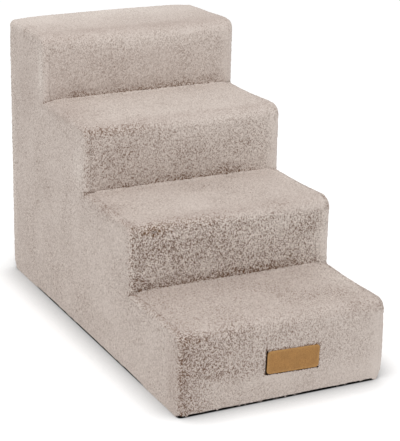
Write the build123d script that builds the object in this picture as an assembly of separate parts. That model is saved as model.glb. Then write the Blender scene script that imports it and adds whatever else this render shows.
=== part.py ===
"""Pet stairs: four foam steps in a zip-off plush cover, on a black non-slip base.

Millimetres. X runs across the treads, Y from the lowest step at the front to the
back, and Z up. The origin lies on the floor, under the middle of the stairs.
"""

import os

from build123d import *

# Main sizes, over the pile
width = 380.0
step_count = 4
first_rise = 144.0
rise = 118.0
going = 190.5
top_going = 181.5
nosing_radius = 24.0
# How far the middle of a riser and of a tread swells beyond its edges
riser_crown = 2.0
tread_crown = 2.0

# Plush cover: backing and pile together, and the rounding where the pile wraps an edge
plush_thick = 9.0
edge_radius = 8.0
back_radius = 8.5
# Sewn crease between a tread and the next riser
crease_depth = 2.0
crease_reach = 6.0

# Black base: non-slip fabric, and the tape in the seam that joins it to the plush
base_thick = 2.0
base_inset = 2.5
base_corner = 10.0
seam_tape_height = 2.5
seam_tape_width = 5.0

# Foam core: a dense base slab, a firm slab for each step and a softer layer on each tread
base_foam = 25.0
comfort_thick = 20.0
nosing_ease = 1.0

# Label on the lowest riser
label_width = 94.0
label_height = 40.0
label_thick = 1.6
label_corner = 4.0
label_bevel = 0.4
label_right_of_middle = 14.5
label_middle_height = 68.0
label_clearance = 0.3
label_tilt_degrees = 2.0

# Zip down the middle of the back
zip_slot = 12.0
zip_depth = 6.1
back_band_height = 58.0
tape_thick = 0.8
tape_width = 14.0
mesh_gap = 1.4
coil_width = 2.6
coil_height = 2.0
coil_round = 0.8
stop_height = 32.0
stop_length = 3.0
stop_proud = 0.8
end_tab_thick = 1.9
end_tab_clearance = 2.0

# Slider of the zip
slider_length = 12.0
slider_mouth_width = 10.6
slider_clearance = 0.35
slider_plate = 1.0
slider_flange = 1.0
slider_flange_length = 8.0
slider_corner = 1.5
slider_stop_gap = 0.3
post_length = 4.0
bridge_width = 2.2
bridge_foot = 1.2
bridge_bar = 1.0
bridge_round = 0.6

# Pull tab, which hangs from the slider's bridge
pull_length = 26.0
pull_thick = 1.2
pull_eye_width = 5.2
pull_tip_width = 6.4
pull_tip_round = 2.4
pull_clearance = 0.25
pull_eye_play = 1.0
pull_slot_width = 2.4
pull_slot_length = 9.0
pull_slot_from_tip = 3.0
pull_headroom = 1.5

# Worked out from the sizes above
last_step = step_count - 1
top_z = first_rise + rise * last_step
front = riser_crown - (riser_crown + going * last_step + top_going) / 2
back = front + going * last_step + top_going
side_seam = width / 2 - plush_thick
foam_back = back - plush_thick
cover_foot = base_thick + seam_tape_height
foam_foot = base_thick + base_foam
label_face = front - riser_crown

# Depths and heights of the zip, shared by the back of the cover and the slider
band_foot = top_z - back_band_height
tape_outer = back - zip_depth
tape_inner = tape_outer - tape_thick
coil_outer = tape_outer + coil_height
coil_edge = mesh_gap / 2 + coil_width
coil_foot = stop_height + stop_length
slider_foot = coil_foot + slider_stop_gap
slider_head = slider_foot + slider_length
slider_middle = (slider_foot + slider_head) / 2
upper_plate_foot = coil_outer + slider_clearance
upper_plate_face = upper_plate_foot + slider_plate
lower_plate_face = tape_inner - slider_clearance
pivot_y = upper_plate_face + pull_clearance + pull_thick / 2
coil_head = band_foot - pull_headroom - pull_length + slider_length / 2 + slider_stop_gap
slider_travel = coil_head - slider_stop_gap - slider_head


def riser_y(step):
    """Face of a step's riser, at the side seams."""
    return front + going * step


def tread_z(step):
    """Height of a step's tread, at the side seams."""
    return first_rise + rise * step


def foam_riser(step):
    """Front of the foam behind a riser."""
    return riser_y(step) + plush_thick


def foam_tread(step):
    """Top of the foam under a tread."""
    return tread_z(step) - plush_thick


def side_plane(x):
    """Plane across X, on which points are given as depth and height."""
    return Plane((x, 0, 0), x_dir=(0, 1, 0), z_dir=(1, 0, 0))


def block(low, high):
    """Box between two corners."""
    size = [b - a for a, b in zip(low, high)]
    return Pos(*low) * Box(*size, align=(Align.MIN, Align.MIN, Align.MIN))


def both_sides(shape):
    """The shape and its mirror image across the middle of the stairs."""
    return shape, mirror(shape, Plane.YZ)


def swell(start, end, crown):
    """Straight edge, or an arc that stands out to its left by the crown."""
    if crown == 0:
        return Line(start, end)
    return SagittaArc(start, end, crown)


def step_section(step, crown_share):
    """Depths and heights of one plush step: riser, nosing and tread, and their inside."""
    riser = riser_y(step)
    top = tread_z(step)
    nose = top - nosing_radius
    edges = []
    if step == 0:
        low = (riser, cover_foot)
        inner_low = (riser + plush_thick, cover_foot)
        riser_low = low
    else:
        crease = tread_z(step - 1)
        low = (riser + crease_depth, crease - crease_depth)
        inner_low = (riser + plush_thick, crease - plush_thick)
        riser_low = (riser, crease + crease_reach)
        edges.append(TangentArc(riser_low, low, tangent=(0, -1)))
    riser_top = (riser, nose)
    tread_front = (riser + nosing_radius, top)
    edges.append(swell(riser_low, riser_top, riser_crown * crown_share))
    edges.append(TangentArc(riser_top, tread_front, tangent=(0, 1)))
    if step == last_step:
        tail = (foam_back, top)
        inner_tail = (foam_back, top - plush_thick)
        edges.append(swell(tread_front, tail, tread_crown * crown_share))
    else:
        next_riser = riser_y(step + 1)
        tread_back = (next_riser - crease_reach, top)
        tail = (next_riser + crease_depth, top - crease_depth)
        inner_tail = (next_riser + plush_thick, top - plush_thick)
        edges.append(swell(tread_front, tread_back, tread_crown * crown_share))
        edges.append(TangentArc(tread_back, tail, tangent=(1, 0)))
    inner_front = (riser + nosing_radius, top - plush_thick)
    inner_riser = (riser + plush_thick, nose)
    edges.append(Line(tail, inner_tail))
    edges.append(Line(inner_tail, inner_front))
    edges.append(TangentArc(inner_front, inner_riser, tangent=(-1, 0)))
    edges.append(Line(inner_riser, inner_low))
    edges.append(Line(inner_low, low))
    return make_face(edges)


def label_outline(clearance):
    """Rounded outline of the label, laid on the lowest riser and turned by its tilt."""
    plane = Plane(
        (label_right_of_middle, label_face, label_middle_height),
        x_dir=(1, 0, 0),
        z_dir=(0, -1, 0),
    )
    outline = RectangleRounded(
        label_width + 2 * clearance,
        label_height + 2 * clearance,
        label_corner + clearance,
    )
    return plane * Rot(0, 0, -label_tilt_degrees) * outline


def plush_step(step):
    """Plush over one step, which swells towards the middle of the stairs."""
    shares = {-side_seam: 0, 0: 1, side_seam: 0}
    sections = [side_plane(x) * step_section(step, share) for x, share in shares.items()]
    plush = loft(sections)
    if step == 0:
        plush -= extrude(label_outline(label_clearance), -label_thick)
    return plush


def plush_side():
    """Right side of the cover, with the pile wrapped round its outer edges."""
    side = Part()
    for step in range(step_count):
        riser = riser_y(step)
        top = tread_z(step)
        outline = [
            Line((riser, cover_foot), (riser, top - nosing_radius)),
            TangentArc((riser, top - nosing_radius), (riser + nosing_radius, top), tangent=(0, 1)),
            Line((riser + nosing_radius, top), (back - back_radius, top)),
            TangentArc((back - back_radius, top), (back, top - back_radius), tangent=(1, 0)),
            Line((back, top - back_radius), (back, cover_foot)),
            Line((back, cover_foot), (riser, cover_foot)),
        ]
        slab = extrude(side_plane(side_seam) * make_face(outline), plush_thick)
        outer_edges = slab.faces().sort_by(Axis.X)[-1].edges().sort_by(Axis.Z)[1:]
        side += fillet(outer_edges, edge_radius)
    return side


def plush_back_band():
    """Upper band of the cover's back, with its rounded top edge."""
    band = block((-side_seam, foam_back, band_foot), (side_seam, back, top_z))
    top_edge = band.edges().filter_by(Axis.X).group_by(Axis.Z)[-1].sort_by(Axis.Y)[-1]
    return fillet(top_edge, back_radius)


def plush_back_half():
    """Right half of the cover's back, slit along its edge for the zip tape."""
    half = block((zip_slot / 2, foam_back, cover_foot), (side_seam, back, band_foot))
    tape_edge = mesh_gap / 2 + tape_width
    half -= block((zip_slot / 2, tape_inner, cover_foot), (tape_edge, tape_outer, band_foot))
    return half


def foam_slab(step):
    """Firm foam of one step, which reaches back under every higher step."""
    low = foam_foot if step == 0 else foam_tread(step - 1) - comfort_thick
    high = foam_tread(step) - comfort_thick
    return block((-side_seam, foam_riser(step), low), (side_seam, foam_back, high))


def comfort_layer(step):
    """Softer foam of one tread, rounded along its nosing."""
    end = foam_back if step == last_step else foam_riser(step + 1)
    top = foam_tread(step)
    layer = block((-side_seam, foam_riser(step), top - comfort_thick), (side_seam, end, top))
    nose = layer.edges().filter_by(Axis.X).group_by(Axis.Z)[-1].sort_by(Axis.Y)[0]
    return fillet(nose, nosing_radius - plush_thick + nosing_ease)


def base_outline(inset, corner):
    """Rounded rectangle of the base, a distance in from the pile."""
    middle = (front + back) / 2
    plan = RectangleRounded(width - 2 * inset, back - front - 2 * inset, corner)
    return Pos(0, middle, 0) * plan


def base_panel():
    """Non-slip fabric on the floor."""
    return extrude(base_outline(base_inset, base_corner), base_thick)


def base_seam_tape():
    """Tape in the seam between the base and the plush, all the way round."""
    ring = base_outline(base_inset, base_corner)
    ring -= base_outline(base_inset + seam_tape_width, base_corner - seam_tape_width)
    return Pos(0, 0, base_thick) * extrude(ring, seam_tape_height)


def label_patch():
    """Plain label, let into the pile of the lowest riser."""
    patch = extrude(label_outline(0), -label_thick)
    rim = patch.faces().sort_by(Axis.Y)[0].edges()
    return fillet(rim, label_bevel)


def zip_tape():
    """Right tape of the zip, with its outer edge inside the plush."""
    start = mesh_gap / 2
    return block((start, tape_inner, cover_foot), (start + tape_width, tape_outer, band_foot))


def zip_coil():
    """Right coil of the zip, rounded along its outer edges."""
    coil = block((mesh_gap / 2, tape_outer, coil_foot), (coil_edge, coil_outer, coil_head))
    crest = coil.edges().filter_by(Axis.Z).group_by(Axis.Y)[-1]
    return fillet(crest, coil_round)


def zip_stops():
    """Two lower stops, one on each coil, and the upper stop that holds the tapes together."""
    stop_face = coil_outer + stop_proud
    lower = block((mesh_gap / 2, tape_outer, stop_height), (coil_edge, stop_face, coil_foot))
    upper_head = coil_head + stop_length
    upper = block((-coil_edge, tape_outer, coil_head), (coil_edge, stop_face, upper_head))
    return Compound(children=[*both_sides(lower), upper])


def zip_end_tab():
    """Fabric tab sewn over the lower ends of the tapes."""
    tab_head = stop_height - end_tab_clearance
    tab_face = tape_outer + end_tab_thick
    return block((-zip_slot / 2, tape_outer, cover_foot), (zip_slot / 2, tab_face, tab_head))


def slider_outline():
    """Outline of both slider plates, wide at the mouth, where the coils part."""
    half_mouth = slider_mouth_width / 2
    half_tail = coil_edge + slider_clearance + slider_flange
    shoulder = slider_head - slider_flange_length
    outline = Polyline(
        (-half_mouth, slider_foot),
        (half_mouth, slider_foot),
        (half_tail, shoulder),
        (half_tail, slider_head),
        (-half_tail, slider_head),
        (-half_tail, shoulder),
        close=True,
    )
    plate = make_face(outline)
    ends = plate.vertices().group_by(Axis.Y)[0] + plate.vertices().group_by(Axis.Y)[-1]
    return fillet(ends, slider_corner)


def slider_bridge():
    """Arch over the upper plate, which holds the pull tab."""
    inside = pull_thick + 2 * pull_eye_play
    half = inside / 2 + bridge_foot
    bar_foot = pivot_y + pull_thick / 2 + pull_clearance
    bar_face = bar_foot + bridge_bar
    low = (-bridge_width / 2, upper_plate_face, slider_middle - half)
    arch = block(low, (bridge_width / 2, bar_face, slider_middle + half))
    crest = arch.edges().filter_by(Axis.X).group_by(Axis.Y)[-1]
    arch = fillet(crest, bridge_round)
    low = (-bridge_width / 2, upper_plate_face, slider_middle - inside / 2)
    return arch - block(low, (bridge_width / 2, bar_foot, slider_middle + inside / 2))


def zip_slider():
    """Slider: two plates joined by a post between the coils, with flanges and a bridge."""
    outline = slider_outline()
    facing_back = Plane((0, 0, 0), x_dir=(1, 0, 0), z_dir=(0, -1, 0))
    upper = Pos(0, upper_plate_foot, 0) * (facing_back * extrude(outline, -slider_plate))
    lower = Pos(0, lower_plate_face, 0) * (facing_back * extrude(outline, slider_plate))
    half_post = mesh_gap / 2 - slider_clearance
    post_foot = slider_foot + slider_corner
    post = block(
        (-half_post, lower_plate_face, post_foot),
        (half_post, upper_plate_foot, post_foot + post_length),
    )
    flange_start = coil_edge + slider_clearance
    flange_foot = slider_head - slider_flange_length
    flange = block(
        (flange_start, tape_outer + slider_clearance, flange_foot),
        (flange_start + slider_flange, upper_plate_foot, slider_head - slider_corner),
    )
    slider = upper + lower + post + slider_bridge()
    for rail in both_sides(flange):
        slider += rail
    return slider


def zip_pull():
    """Pull tab that hangs from a round bar under the bridge, with a slot near its tip."""
    half_eye = pull_eye_width / 2
    half_tip = pull_tip_width / 2
    bridge_reach = pull_thick / 2 + pull_eye_play + bridge_foot
    hole_length = bridge_reach + pull_eye_play
    hole_width = bridge_width + 2 * pull_clearance
    outline = Polyline(
        (-half_eye, 0),
        (half_eye, 0),
        (half_tip, -pull_length),
        (-half_tip, -pull_length),
        close=True,
    )
    plate = make_face(outline)
    plate = fillet(plate.vertices().group_by(Axis.Y)[0], pull_tip_round)
    plate -= Pos(0, -hole_length / 2) * Rectangle(hole_width, hole_length)
    slot_middle = pull_slot_from_tip + pull_slot_length / 2 - pull_length
    plate -= Pos(0, slot_middle) * Rot(0, 0, 90) * SlotOverall(pull_slot_length, pull_slot_width)
    facing_back = Plane((0, 0, 0), x_dir=(1, 0, 0), z_dir=(0, -1, 0))
    tab = facing_back * extrude(plate, pull_thick / 2, both=True)
    bar = Rot(0, 90, 0) * Cylinder(pull_thick / 2, pull_eye_width)
    return Pos(0, pivot_y, slider_middle) * (tab + bar)


def sub_parts():
    """Every sub-part by its node's name."""
    parts = {
        "base_panel": base_panel(),
        "base_seam_tape": base_seam_tape(),
        "base_foam_slab": block((-side_seam, foam_riser(0), base_thick), (side_seam, foam_back, foam_foot)),
    }
    for step in range(step_count):
        parts[f"foam_slab_{step + 1}"] = foam_slab(step)
        parts[f"comfort_layer_{step + 1}"] = comfort_layer(step)
        parts[f"plush_step_{step + 1}"] = plush_step(step)
    halves = {
        "plush_side": plush_side(),
        "plush_back": plush_back_half(),
        "zip_tape": zip_tape(),
        "zip_coil": zip_coil(),
    }
    for name, shape in halves.items():
        parts[f"{name}_right"], parts[f"{name}_left"] = both_sides(shape)
    parts["plush_back_band"] = plush_back_band()
    parts["label_patch"] = label_patch()
    parts["zip_stops"] = zip_stops()
    parts["zip_end_tab"] = zip_end_tab()
    parts["zip_slider"] = zip_slider()
    parts["zip_pull"] = zip_pull()
    return parts


os.makedirs("parts", exist_ok=True)
for node, shape in sub_parts().items():
    export_step(shape, f"parts/{node}.step")
print("slider travel", round(slider_travel, 2), "mm; slider middle at", round(slider_middle, 2))
print("pull pivot at depth", round(pivot_y, 3), "mm, height", round(slider_middle, 2), "mm")
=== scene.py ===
"""Pet stairs: four foam steps in a plush cover, on a black non-slip base.

Metres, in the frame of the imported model: X across the treads, Y from the lowest step
at the front to the back, Z up from the floor.
"""

import functools
import itertools
import math

import bmesh
import bpy
import numpy as np
from mathutils import Matrix, Vector, kdtree


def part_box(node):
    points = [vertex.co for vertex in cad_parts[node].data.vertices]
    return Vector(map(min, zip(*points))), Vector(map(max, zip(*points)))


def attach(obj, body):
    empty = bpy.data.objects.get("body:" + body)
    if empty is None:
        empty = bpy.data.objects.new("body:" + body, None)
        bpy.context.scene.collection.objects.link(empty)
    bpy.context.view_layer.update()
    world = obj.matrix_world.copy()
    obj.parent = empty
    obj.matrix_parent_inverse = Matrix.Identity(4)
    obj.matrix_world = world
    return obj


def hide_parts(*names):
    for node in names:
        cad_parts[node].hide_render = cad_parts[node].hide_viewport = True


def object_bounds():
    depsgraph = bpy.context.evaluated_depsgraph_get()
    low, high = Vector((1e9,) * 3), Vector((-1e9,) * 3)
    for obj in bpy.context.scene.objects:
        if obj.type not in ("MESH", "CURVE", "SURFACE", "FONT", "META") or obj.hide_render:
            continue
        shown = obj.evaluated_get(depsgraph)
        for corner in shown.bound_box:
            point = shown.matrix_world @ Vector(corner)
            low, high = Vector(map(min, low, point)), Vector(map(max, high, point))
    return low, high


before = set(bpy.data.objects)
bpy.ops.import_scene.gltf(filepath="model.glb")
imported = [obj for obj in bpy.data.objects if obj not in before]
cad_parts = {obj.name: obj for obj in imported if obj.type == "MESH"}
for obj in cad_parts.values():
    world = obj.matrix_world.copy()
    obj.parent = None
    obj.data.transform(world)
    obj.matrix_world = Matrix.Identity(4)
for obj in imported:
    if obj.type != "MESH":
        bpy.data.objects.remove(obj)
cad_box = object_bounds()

bl_info = {
    "name": "Pet Stairs",
    "version": (1, 0, 0),
    "blender": (4, 5, 0),
    "location": "3D View > Sidebar > Pet Stairs",
    "description": "Plush cover, foam core, non-slip base, label and zip of a set of pet stairs",
    "category": "Add Mesh",
}

MM = 0.001
QUARTER = math.pi / 2
MAIN_BODY = "stairs"
SIDES = ("right", "left")

# Faces of the cover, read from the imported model
side_low, side_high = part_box("plush_side_right")
PLUSH = side_high.x - side_low.x
SEAM_X, HALF_WIDTH = side_low.x, side_high.x
FRONT, BACK = side_low.y, side_high.y
FOOT, TOP = side_low.z, side_high.z
STEP_COUNT = sum(name.startswith("plush_step_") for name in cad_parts)
layers = [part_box(f"comfort_layer_{step + 1}") for step in range(STEP_COUNT)]
RISERS = [low.y - PLUSH for low, high in layers]
TREADS = [high.z + PLUSH for low, high in layers]
CREASES = list(zip(RISERS[1:], TREADS))
FOAM_BACK = BACK - PLUSH
BAND_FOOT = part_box("plush_back_band")[0].z
SLOT_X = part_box("plush_back_right")[0].x
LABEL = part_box("label_patch")
MIDDLE = (cad_box[0] + cad_box[1]) / 2

# The same faces in millimetres, for the tables of soft spots
R1, R2, R3, R4 = (riser / MM for riser in RISERS)
T1, T2, T3, T4 = (tread / MM for tread in TREADS)
SIDE, END = HALF_WIDTH / MM, BACK / MM


def linear(code):
    """Linear colour of an sRGB hex value."""
    parts = [int(code[at:at + 2], 16) / 255 for at in (0, 2, 4)]
    return [*(p / 12.92 if p <= 0.04045 else ((p + 0.055) / 1.055) ** 2.4 for p in parts), 1.0]


def size(name, description, millimetres):
    """Property for a length, given here in millimetres."""
    return bpy.props.FloatProperty(
        name=name, description=description, default=millimetres * MM, min=0, precision=5, unit="LENGTH"
    )


def share(name, description, default):
    """Property for a plain number."""
    return bpy.props.FloatProperty(name=name, description=description, default=default, min=0)


def angle(name, description, degrees):
    """Property for an angle, given here in degrees."""
    return bpy.props.FloatProperty(
        name=name, description=description, default=math.radians(degrees), subtype="ANGLE"
    )


def colour(name, description, code):
    """Property for a colour, whose default is an sRGB hex value."""
    return bpy.props.FloatVectorProperty(
        name=name, description=description, default=linear(code), size=4, min=0, max=1, subtype="COLOR"
    )


class StairsCoverSizes(bpy.types.PropertyGroup):
    """Sizes of the plush cover."""

    nosing_radius: size("Nosing radius", "Rounding at the front edge of each tread", 19)
    back_radius: size("Back radius", "Rounding along the top of the back", 8.5)
    slot_radius: size("Slot radius", "Rounding of the pile beside the zip", 4)
    crease_dip: size("Crease depth", "How deep the seam of a tread and a riser is drawn in", 0.4)
    crease_roll: size("Crease roll", "How far a tread's pile rises towards the next riser", 3.2)
    crease_reach: size("Crease reach", "How far from the seam the pile is drawn in", 9)
    hem_drop: size("Hem drop", "How far the pile hangs below the bottom seam", 0.9)
    hem_inset: size("Hem inset", "How far the hanging pile stands in front of the base", 2.2)
    corner_hang: size("Corner hang", "How much further the pile hangs near the corners", 3.6)
    front_hang: size("Front hang", "Where the low pile ends on each side, from the front", 150)
    back_hang: size("Back hang", "Where the low pile begins again, from the front", 607)
    pile_rise: size("Pile rise", "How far the brushed pile stands over the cover", 1.3)
    tuck_radius: size("Corner tuck", "Rounding of the upright edges at the floor", 18)
    sharp_tuck: size("Sharp tuck", "Rounding of the left front edge at the floor", 6)
    tuck_height: size("Tuck height", "Height over which the upright edges round in", 28)
    swell: size("Swell", "How far the foam pushes the middle of each panel out", 2.2)
    swell_voxel: size("Cloth grid", "Mesh size of the simulated cover", 8)
    tuft_size: size("Tuft size", "Distance between the tufts of the pile", 3.3)
    tuft_height: size("Tuft height", "Height of the tufts on the risers", 2.2)
    fine_tuft_size: size("Fine tuft size", "Distance between the small tips in a tuft", 2.3)
    step_mesh: size("Step mesh", "Mesh size of the pile on the steps", 1.3)
    side_mesh: size("Side mesh", "Mesh size of the pile on the sides and back", 1.7)


class StairsTrimSizes(bpy.types.PropertyGroup):
    """Sizes of the base, label and zip."""

    base_corner: size("Base corner", "Rounding of the base's corners", 18)
    sharp_corner: size("Sharp corner", "Rounding of the base's left front corner", 6)
    base_show: size("Base show", "How far the base stands out beyond the packed one", 2.2)
    front_show: size("Front show", "How far the base stands out at the front", 3.0)
    dot_pitch: size("Dot pitch", "Distance between the grip dots", 10)
    dot_margin: size("Dot margin", "From the edge of the base to the first grip dots", 14)
    dot_radius: size("Dot radius", "Radius of a grip dot", 2.2)
    dot_height: size("Dot height", "How far a grip dot stands out", 0.6)
    seam_tape: size("Seam tape", "Width of the tape in the bottom seam", 4.6)
    label_width: size("Label width", "Width of the label", 97.5)
    label_height: size("Label height", "Height of the label", 40)
    label_corner: size("Label corner", "Rounding of the label's corners", 6)
    label_bevel: size("Label edge", "Rounding along the label's edge", 1.0)
    label_proud: size("Label proud", "How far the pile under the label holds it out", 1.9)
    label_shift: size("Label shift", "How far right of its packed place the label sits", 1.8)
    label_lift: size("Label lift", "How far above its packed place the label sits", 0.4)
    label_wave: size("Label wave", "How far the soft label waves", 0.8)
    label_tilt: angle("Label tilt", "How far the label's right end hangs", 2.0)
    coil_pitch: size("Coil pitch", "Distance between the turns of the zip's coils", 1.8)
    coil_wire: size("Coil wire", "Radius of the wire of the coils", 0.34)
    coil_gap: size("Coil gap", "Gap between the coils, which the slider's post runs in", 0.9)
    metal_edge: size("Metal edge", "Width of the broken edges of the zip's metal", 0.16)


class StairsColours(bpy.types.PropertyGroup):
    """Colours of the stairs."""

    # The palest tips also colour the painted highlights and the faces painted paler, and the plush between
    # tips the swirls and faces painted darker
    pile_tips_and_highlight: colour("Pile tips", "Palest tips of the plush", "E4DAD2")
    pile: colour("Pile", "The plush", "CDC1B9")
    pile_low_and_shade: colour("Pile between tips", "Plush a little below the tips", "B8A9A1")
    # The roots' colour also stands for the painted shade in the gaps between the tufts
    pile_root_and_gap_shade: colour("Pile roots", "Gaps between the tufts", "5D3B21")
    # The backing's colour is also the colour of the painted shade over the creases
    pile_backing_and_crease_shade: colour("Pile base", "Brown backing that shows where the pile is ruffled", "5E390C")
    label_shadow: colour("Label gap", "Shadow between the label and the pile", "22140B")
    foam: colour("Foam", "Firm foam of the steps", "E6DFC8")
    comfort_foam: colour("Comfort foam", "Soft foam under the treads", "D9E0E6")
    base: colour("Base", "Non-slip fabric and its seam tape", "100C0A")
    label: colour("Label", "Tan label", "A0753F")
    zip_tape: colour("Zip tape", "Tapes and end tab of the zip", "A2948A")
    zip_coil: colour("Zip coil", "Coils of the zip", "94867C")
    zip_metal: colour("Zip metal", "Slider, pull and stops", "B7B4AF")


class StairsStage(bpy.types.PropertyGroup):
    """Camera, lamp and floor."""

    azimuth: angle("Azimuth", "Where the camera stands round the stairs", -26.57)
    elevation: angle("Elevation", "How far the camera looks down", 19.16)
    roll: angle("Roll", "Lean of the camera", 1.03)
    distance: size("Distance", "From the camera to the middle of the stairs", 2938.04)
    right: size("Right", "Camera's place to the right of the stairs' middle", 26.14)
    down: size("Down", "Camera's place below the stairs' middle", 56.99)
    focal: share("Focal length", "In pixels of the picture", 1643.17)
    floor: colour("Floor", "Pale floor", "F7F7F7")
    floor_reach: size("Floor reach", "From the middle of the floor to its edges", 12000)
    shadow_reach: size("Shadow reach", "How far the contact shadow reaches from the base", 70)
    shadow_depth: share("Shadow depth", "Light left in the deepest contact shadow", 0.5)
    floor_glow: share("Floor glow", "Light that the floor adds for the eye, up to white", 0.25)
    ambient: share("Ambient", "Strength of the light from all round", 0.78)
    key: share("Key", "Power of the lamp above and in front, in watts", 23.0)
    key_distance: size("Key distance", "From the lamp to the middle of the stairs", 2400)
    key_size: size("Key size", "Width of the lamp", 1800)
    key_place: bpy.props.FloatVectorProperty(
        name="Key place", description="Where the lamp stands, seen from the middle of the stairs",
        default=(-0.27, -0.35, 0.9), subtype="DIRECTION",
    )


# The picture's height in pixels, and the camera's sensor in millimetres
PICTURE_HEIGHT = 441
SENSOR = 36.0


def hashed(cells, salt):
    """Even random numbers from 0 to 1, one for each whole-number cell."""
    parts = [cells[:, axis].astype(np.uint32) for axis in range(3)]
    mixed = parts[0] * np.uint32(73856093) ^ parts[1] * np.uint32(19349663)
    mixed ^= parts[2] * np.uint32(83492791) ^ np.uint32(salt * 2654435 + 977)
    for shift, factor in ((16, 0x7FEB352D), (15, 0x846CA68B)):
        mixed ^= mixed >> np.uint32(shift)
        mixed *= np.uint32(factor)
    mixed ^= mixed >> np.uint32(16)
    return mixed / 4294967296.0


def tufts(points, spacing, salt):
    """Distance from each point to the nearest tuft, and that tuft's own random number."""
    scaled = points / spacing
    home = np.floor(scaled).astype(np.int64)
    nearest = np.full(len(points), 9.0)
    mark = np.zeros(len(points))
    for step in itertools.product((-1, 0, 1), repeat=3):
        cell = home + np.array(step)
        centre = cell + np.stack([hashed(cell, salt + axis) for axis in range(3)], 1)
        apart = ((centre - scaled) ** 2).sum(1)
        mark = np.where(apart < nearest, centre[:, 0] * 7.31 % 1.0, mark)
        nearest = np.minimum(apart, nearest)
    return np.sqrt(nearest), mark


def drift(points, spacing, salt):
    """Slow random change over the surface, from 0 to 1."""
    scaled = points / spacing
    home = np.floor(scaled).astype(np.int64)
    part = scaled - home
    part = part * part * (3 - 2 * part)
    total = np.zeros(len(points))
    for step in itertools.product((0, 1), repeat=3):
        corner = np.array(step)
        total += np.where(corner, part, 1 - part).prod(1) * hashed(home + corner, salt)
    return total


def smooth(low, high, value):
    """From 0 at low to 1 at high, with soft ends."""
    t = np.clip((value - low) / (high - low), 0, 1)
    return t * t * (3 - 2 * t)


def bulge(rise):
    """Quarter circle: 1 where the given share is 0, falling round to 0 where it is 1."""
    return np.sqrt(np.clip(1 - rise ** 2, 0, 1))


def disc_corner(a, b):
    """Moves points of a square corner onto a round one, ring by ring."""
    ring = np.maximum(a, b)
    turn = np.divide(np.minimum(a, b), ring, out=np.zeros_like(ring), where=ring > 0) * math.pi / 4
    major, minor = ring * np.cos(turn), ring * np.sin(turn)
    return np.where(a >= b, major, minor), np.where(a >= b, minor, major)


def even(start, end, spacing):
    """Evenly spaced values, both ends included."""
    return np.linspace(start, end, max(2, round(abs(end - start) / spacing) + 1))


def arc(centre, radius, start, end, count=24):
    """Points of an arc, from one angle to another, both in radians."""
    return [
        (centre[0] + radius * math.cos(a), centre[1] + radius * math.sin(a))
        for a in np.linspace(start, end, count)
    ]


def unit(vectors):
    """The same directions, with length 1."""
    return vectors / np.linalg.norm(vectors, axis=-1, keepdims=True)


def run_along(points):
    """Distance along a polyline, at each of its points."""
    return np.r_[0, np.cumsum(np.linalg.norm(np.diff(points, axis=0), axis=1))]


def evened(points, spacing):
    """Evenly spaced points of a polyline, and their normals to its left."""
    points = np.array(points, float)
    points = points[np.r_[True, np.diff(run_along(points)) > 1e-7]]
    along = run_along(points)

    def sample(at):
        return np.stack([np.interp(at, along, points[:, axis]) for axis in (0, 1)], 1)

    at = even(0, along[-1], spacing)
    run = unit(sample(at + spacing / 4) - sample(at - spacing / 4))
    return sample(at), np.stack([-run[:, 1], run[:, 0]], 1)


def grid_faces(index, ring=False, closed=False):
    """Faces of a grid of point numbers, whose rows and columns may each close in a ring."""
    if ring:
        index = np.concatenate([index, index[:, :1]], 1)
    if closed:
        index = np.concatenate([index, index[:1]])
    return np.stack([index[:-1, :-1], index[:-1, 1:], index[1:, 1:], index[1:, :-1]], -1)


def tube_faces(index):
    """Faces of a closed tube, from its rings of point numbers, with both ends closed."""
    walls = grid_faces(index, ring=True).reshape(-1, 4)
    return walls.tolist() + [index[0, ::-1].tolist(), index[-1].tolist()]


def new_mesh(name, points, faces):
    """Smooth-shaded mesh object in the scene."""
    mesh = bpy.data.meshes.new(name)
    mesh.from_pydata([tuple(p) for p in points], [], faces)
    mesh.polygons.foreach_set("use_smooth", [True] * len(mesh.polygons))
    piece = bpy.data.objects.new(name, mesh)
    bpy.context.scene.collection.objects.link(piece)
    return piece


def new_solid(name, points, faces, change=None):
    """Closed mesh object, whose faces are turned outwards, once a function has changed it."""
    piece = new_mesh(name, points, faces)
    made = bmesh.new()
    made.from_mesh(piece.data)
    if change:
        change(made)
    bmesh.ops.recalc_face_normals(made, faces=made.faces)
    made.to_mesh(piece.data)
    made.free()
    return piece


def tube(name, rings):
    """Closed tube through rings of points, with both ends closed."""
    index = np.arange(rings[..., 0].size).reshape(rings.shape[:2])
    return new_solid(name, rings.reshape(-1, 3), tube_faces(index))


def across_steps(points, where):
    """Depth and height, swept across the treads."""
    return np.stack([np.full(len(points), where), points[:, 0], points[:, 1]], 1)


def upwards(points, where):
    """Width and depth, swept upwards."""
    return np.stack([points[:, 0], points[:, 1], np.full(len(points), where)], 1)


def add_attributes(piece, **marks):
    """Stores numbers for the first vertices of a piece, and zero for the rest."""
    for name, values in marks.items():
        filled = np.zeros(len(piece.data.vertices), np.float32)
        filled[:len(values)] = values
        piece.data.attributes.new(name, "FLOAT", "POINT").data.foreach_set("value", filled)


def place(piece, node, material):
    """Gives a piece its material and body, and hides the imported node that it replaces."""
    piece.data.materials.append(material)
    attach(piece, MAIN_BODY)
    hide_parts(node)
    return piece


# Plush cover

# Slow random changes: the distance over which each one changes, and its seed
TUFT_WOBBLE, WOBBLE_SEED = 7 * MM, 31
RUFFLE_PATCHES = (45 * MM, 7)
HEIGHT_PATCHES = (22 * MM, 5)
CREASE_FRAY = (9 * MM, 61)
HEM_WAVES = (15 * MM, 83)
HEM_TIPS = (5 * MM, 87)
FOAM_WAVES = (14 * MM, 41)
LABEL_WAVES = (26 * MM, 51)

# Seeds of the tufts, and of the small tips in them
TUFT_SEED = 3
TIP_SEED = 11

# How far the wobble moves the tufts, and the small tips in them
TUFT_SHIFT, TIP_SHIFT = 3 * MM, 2 * MM

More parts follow.
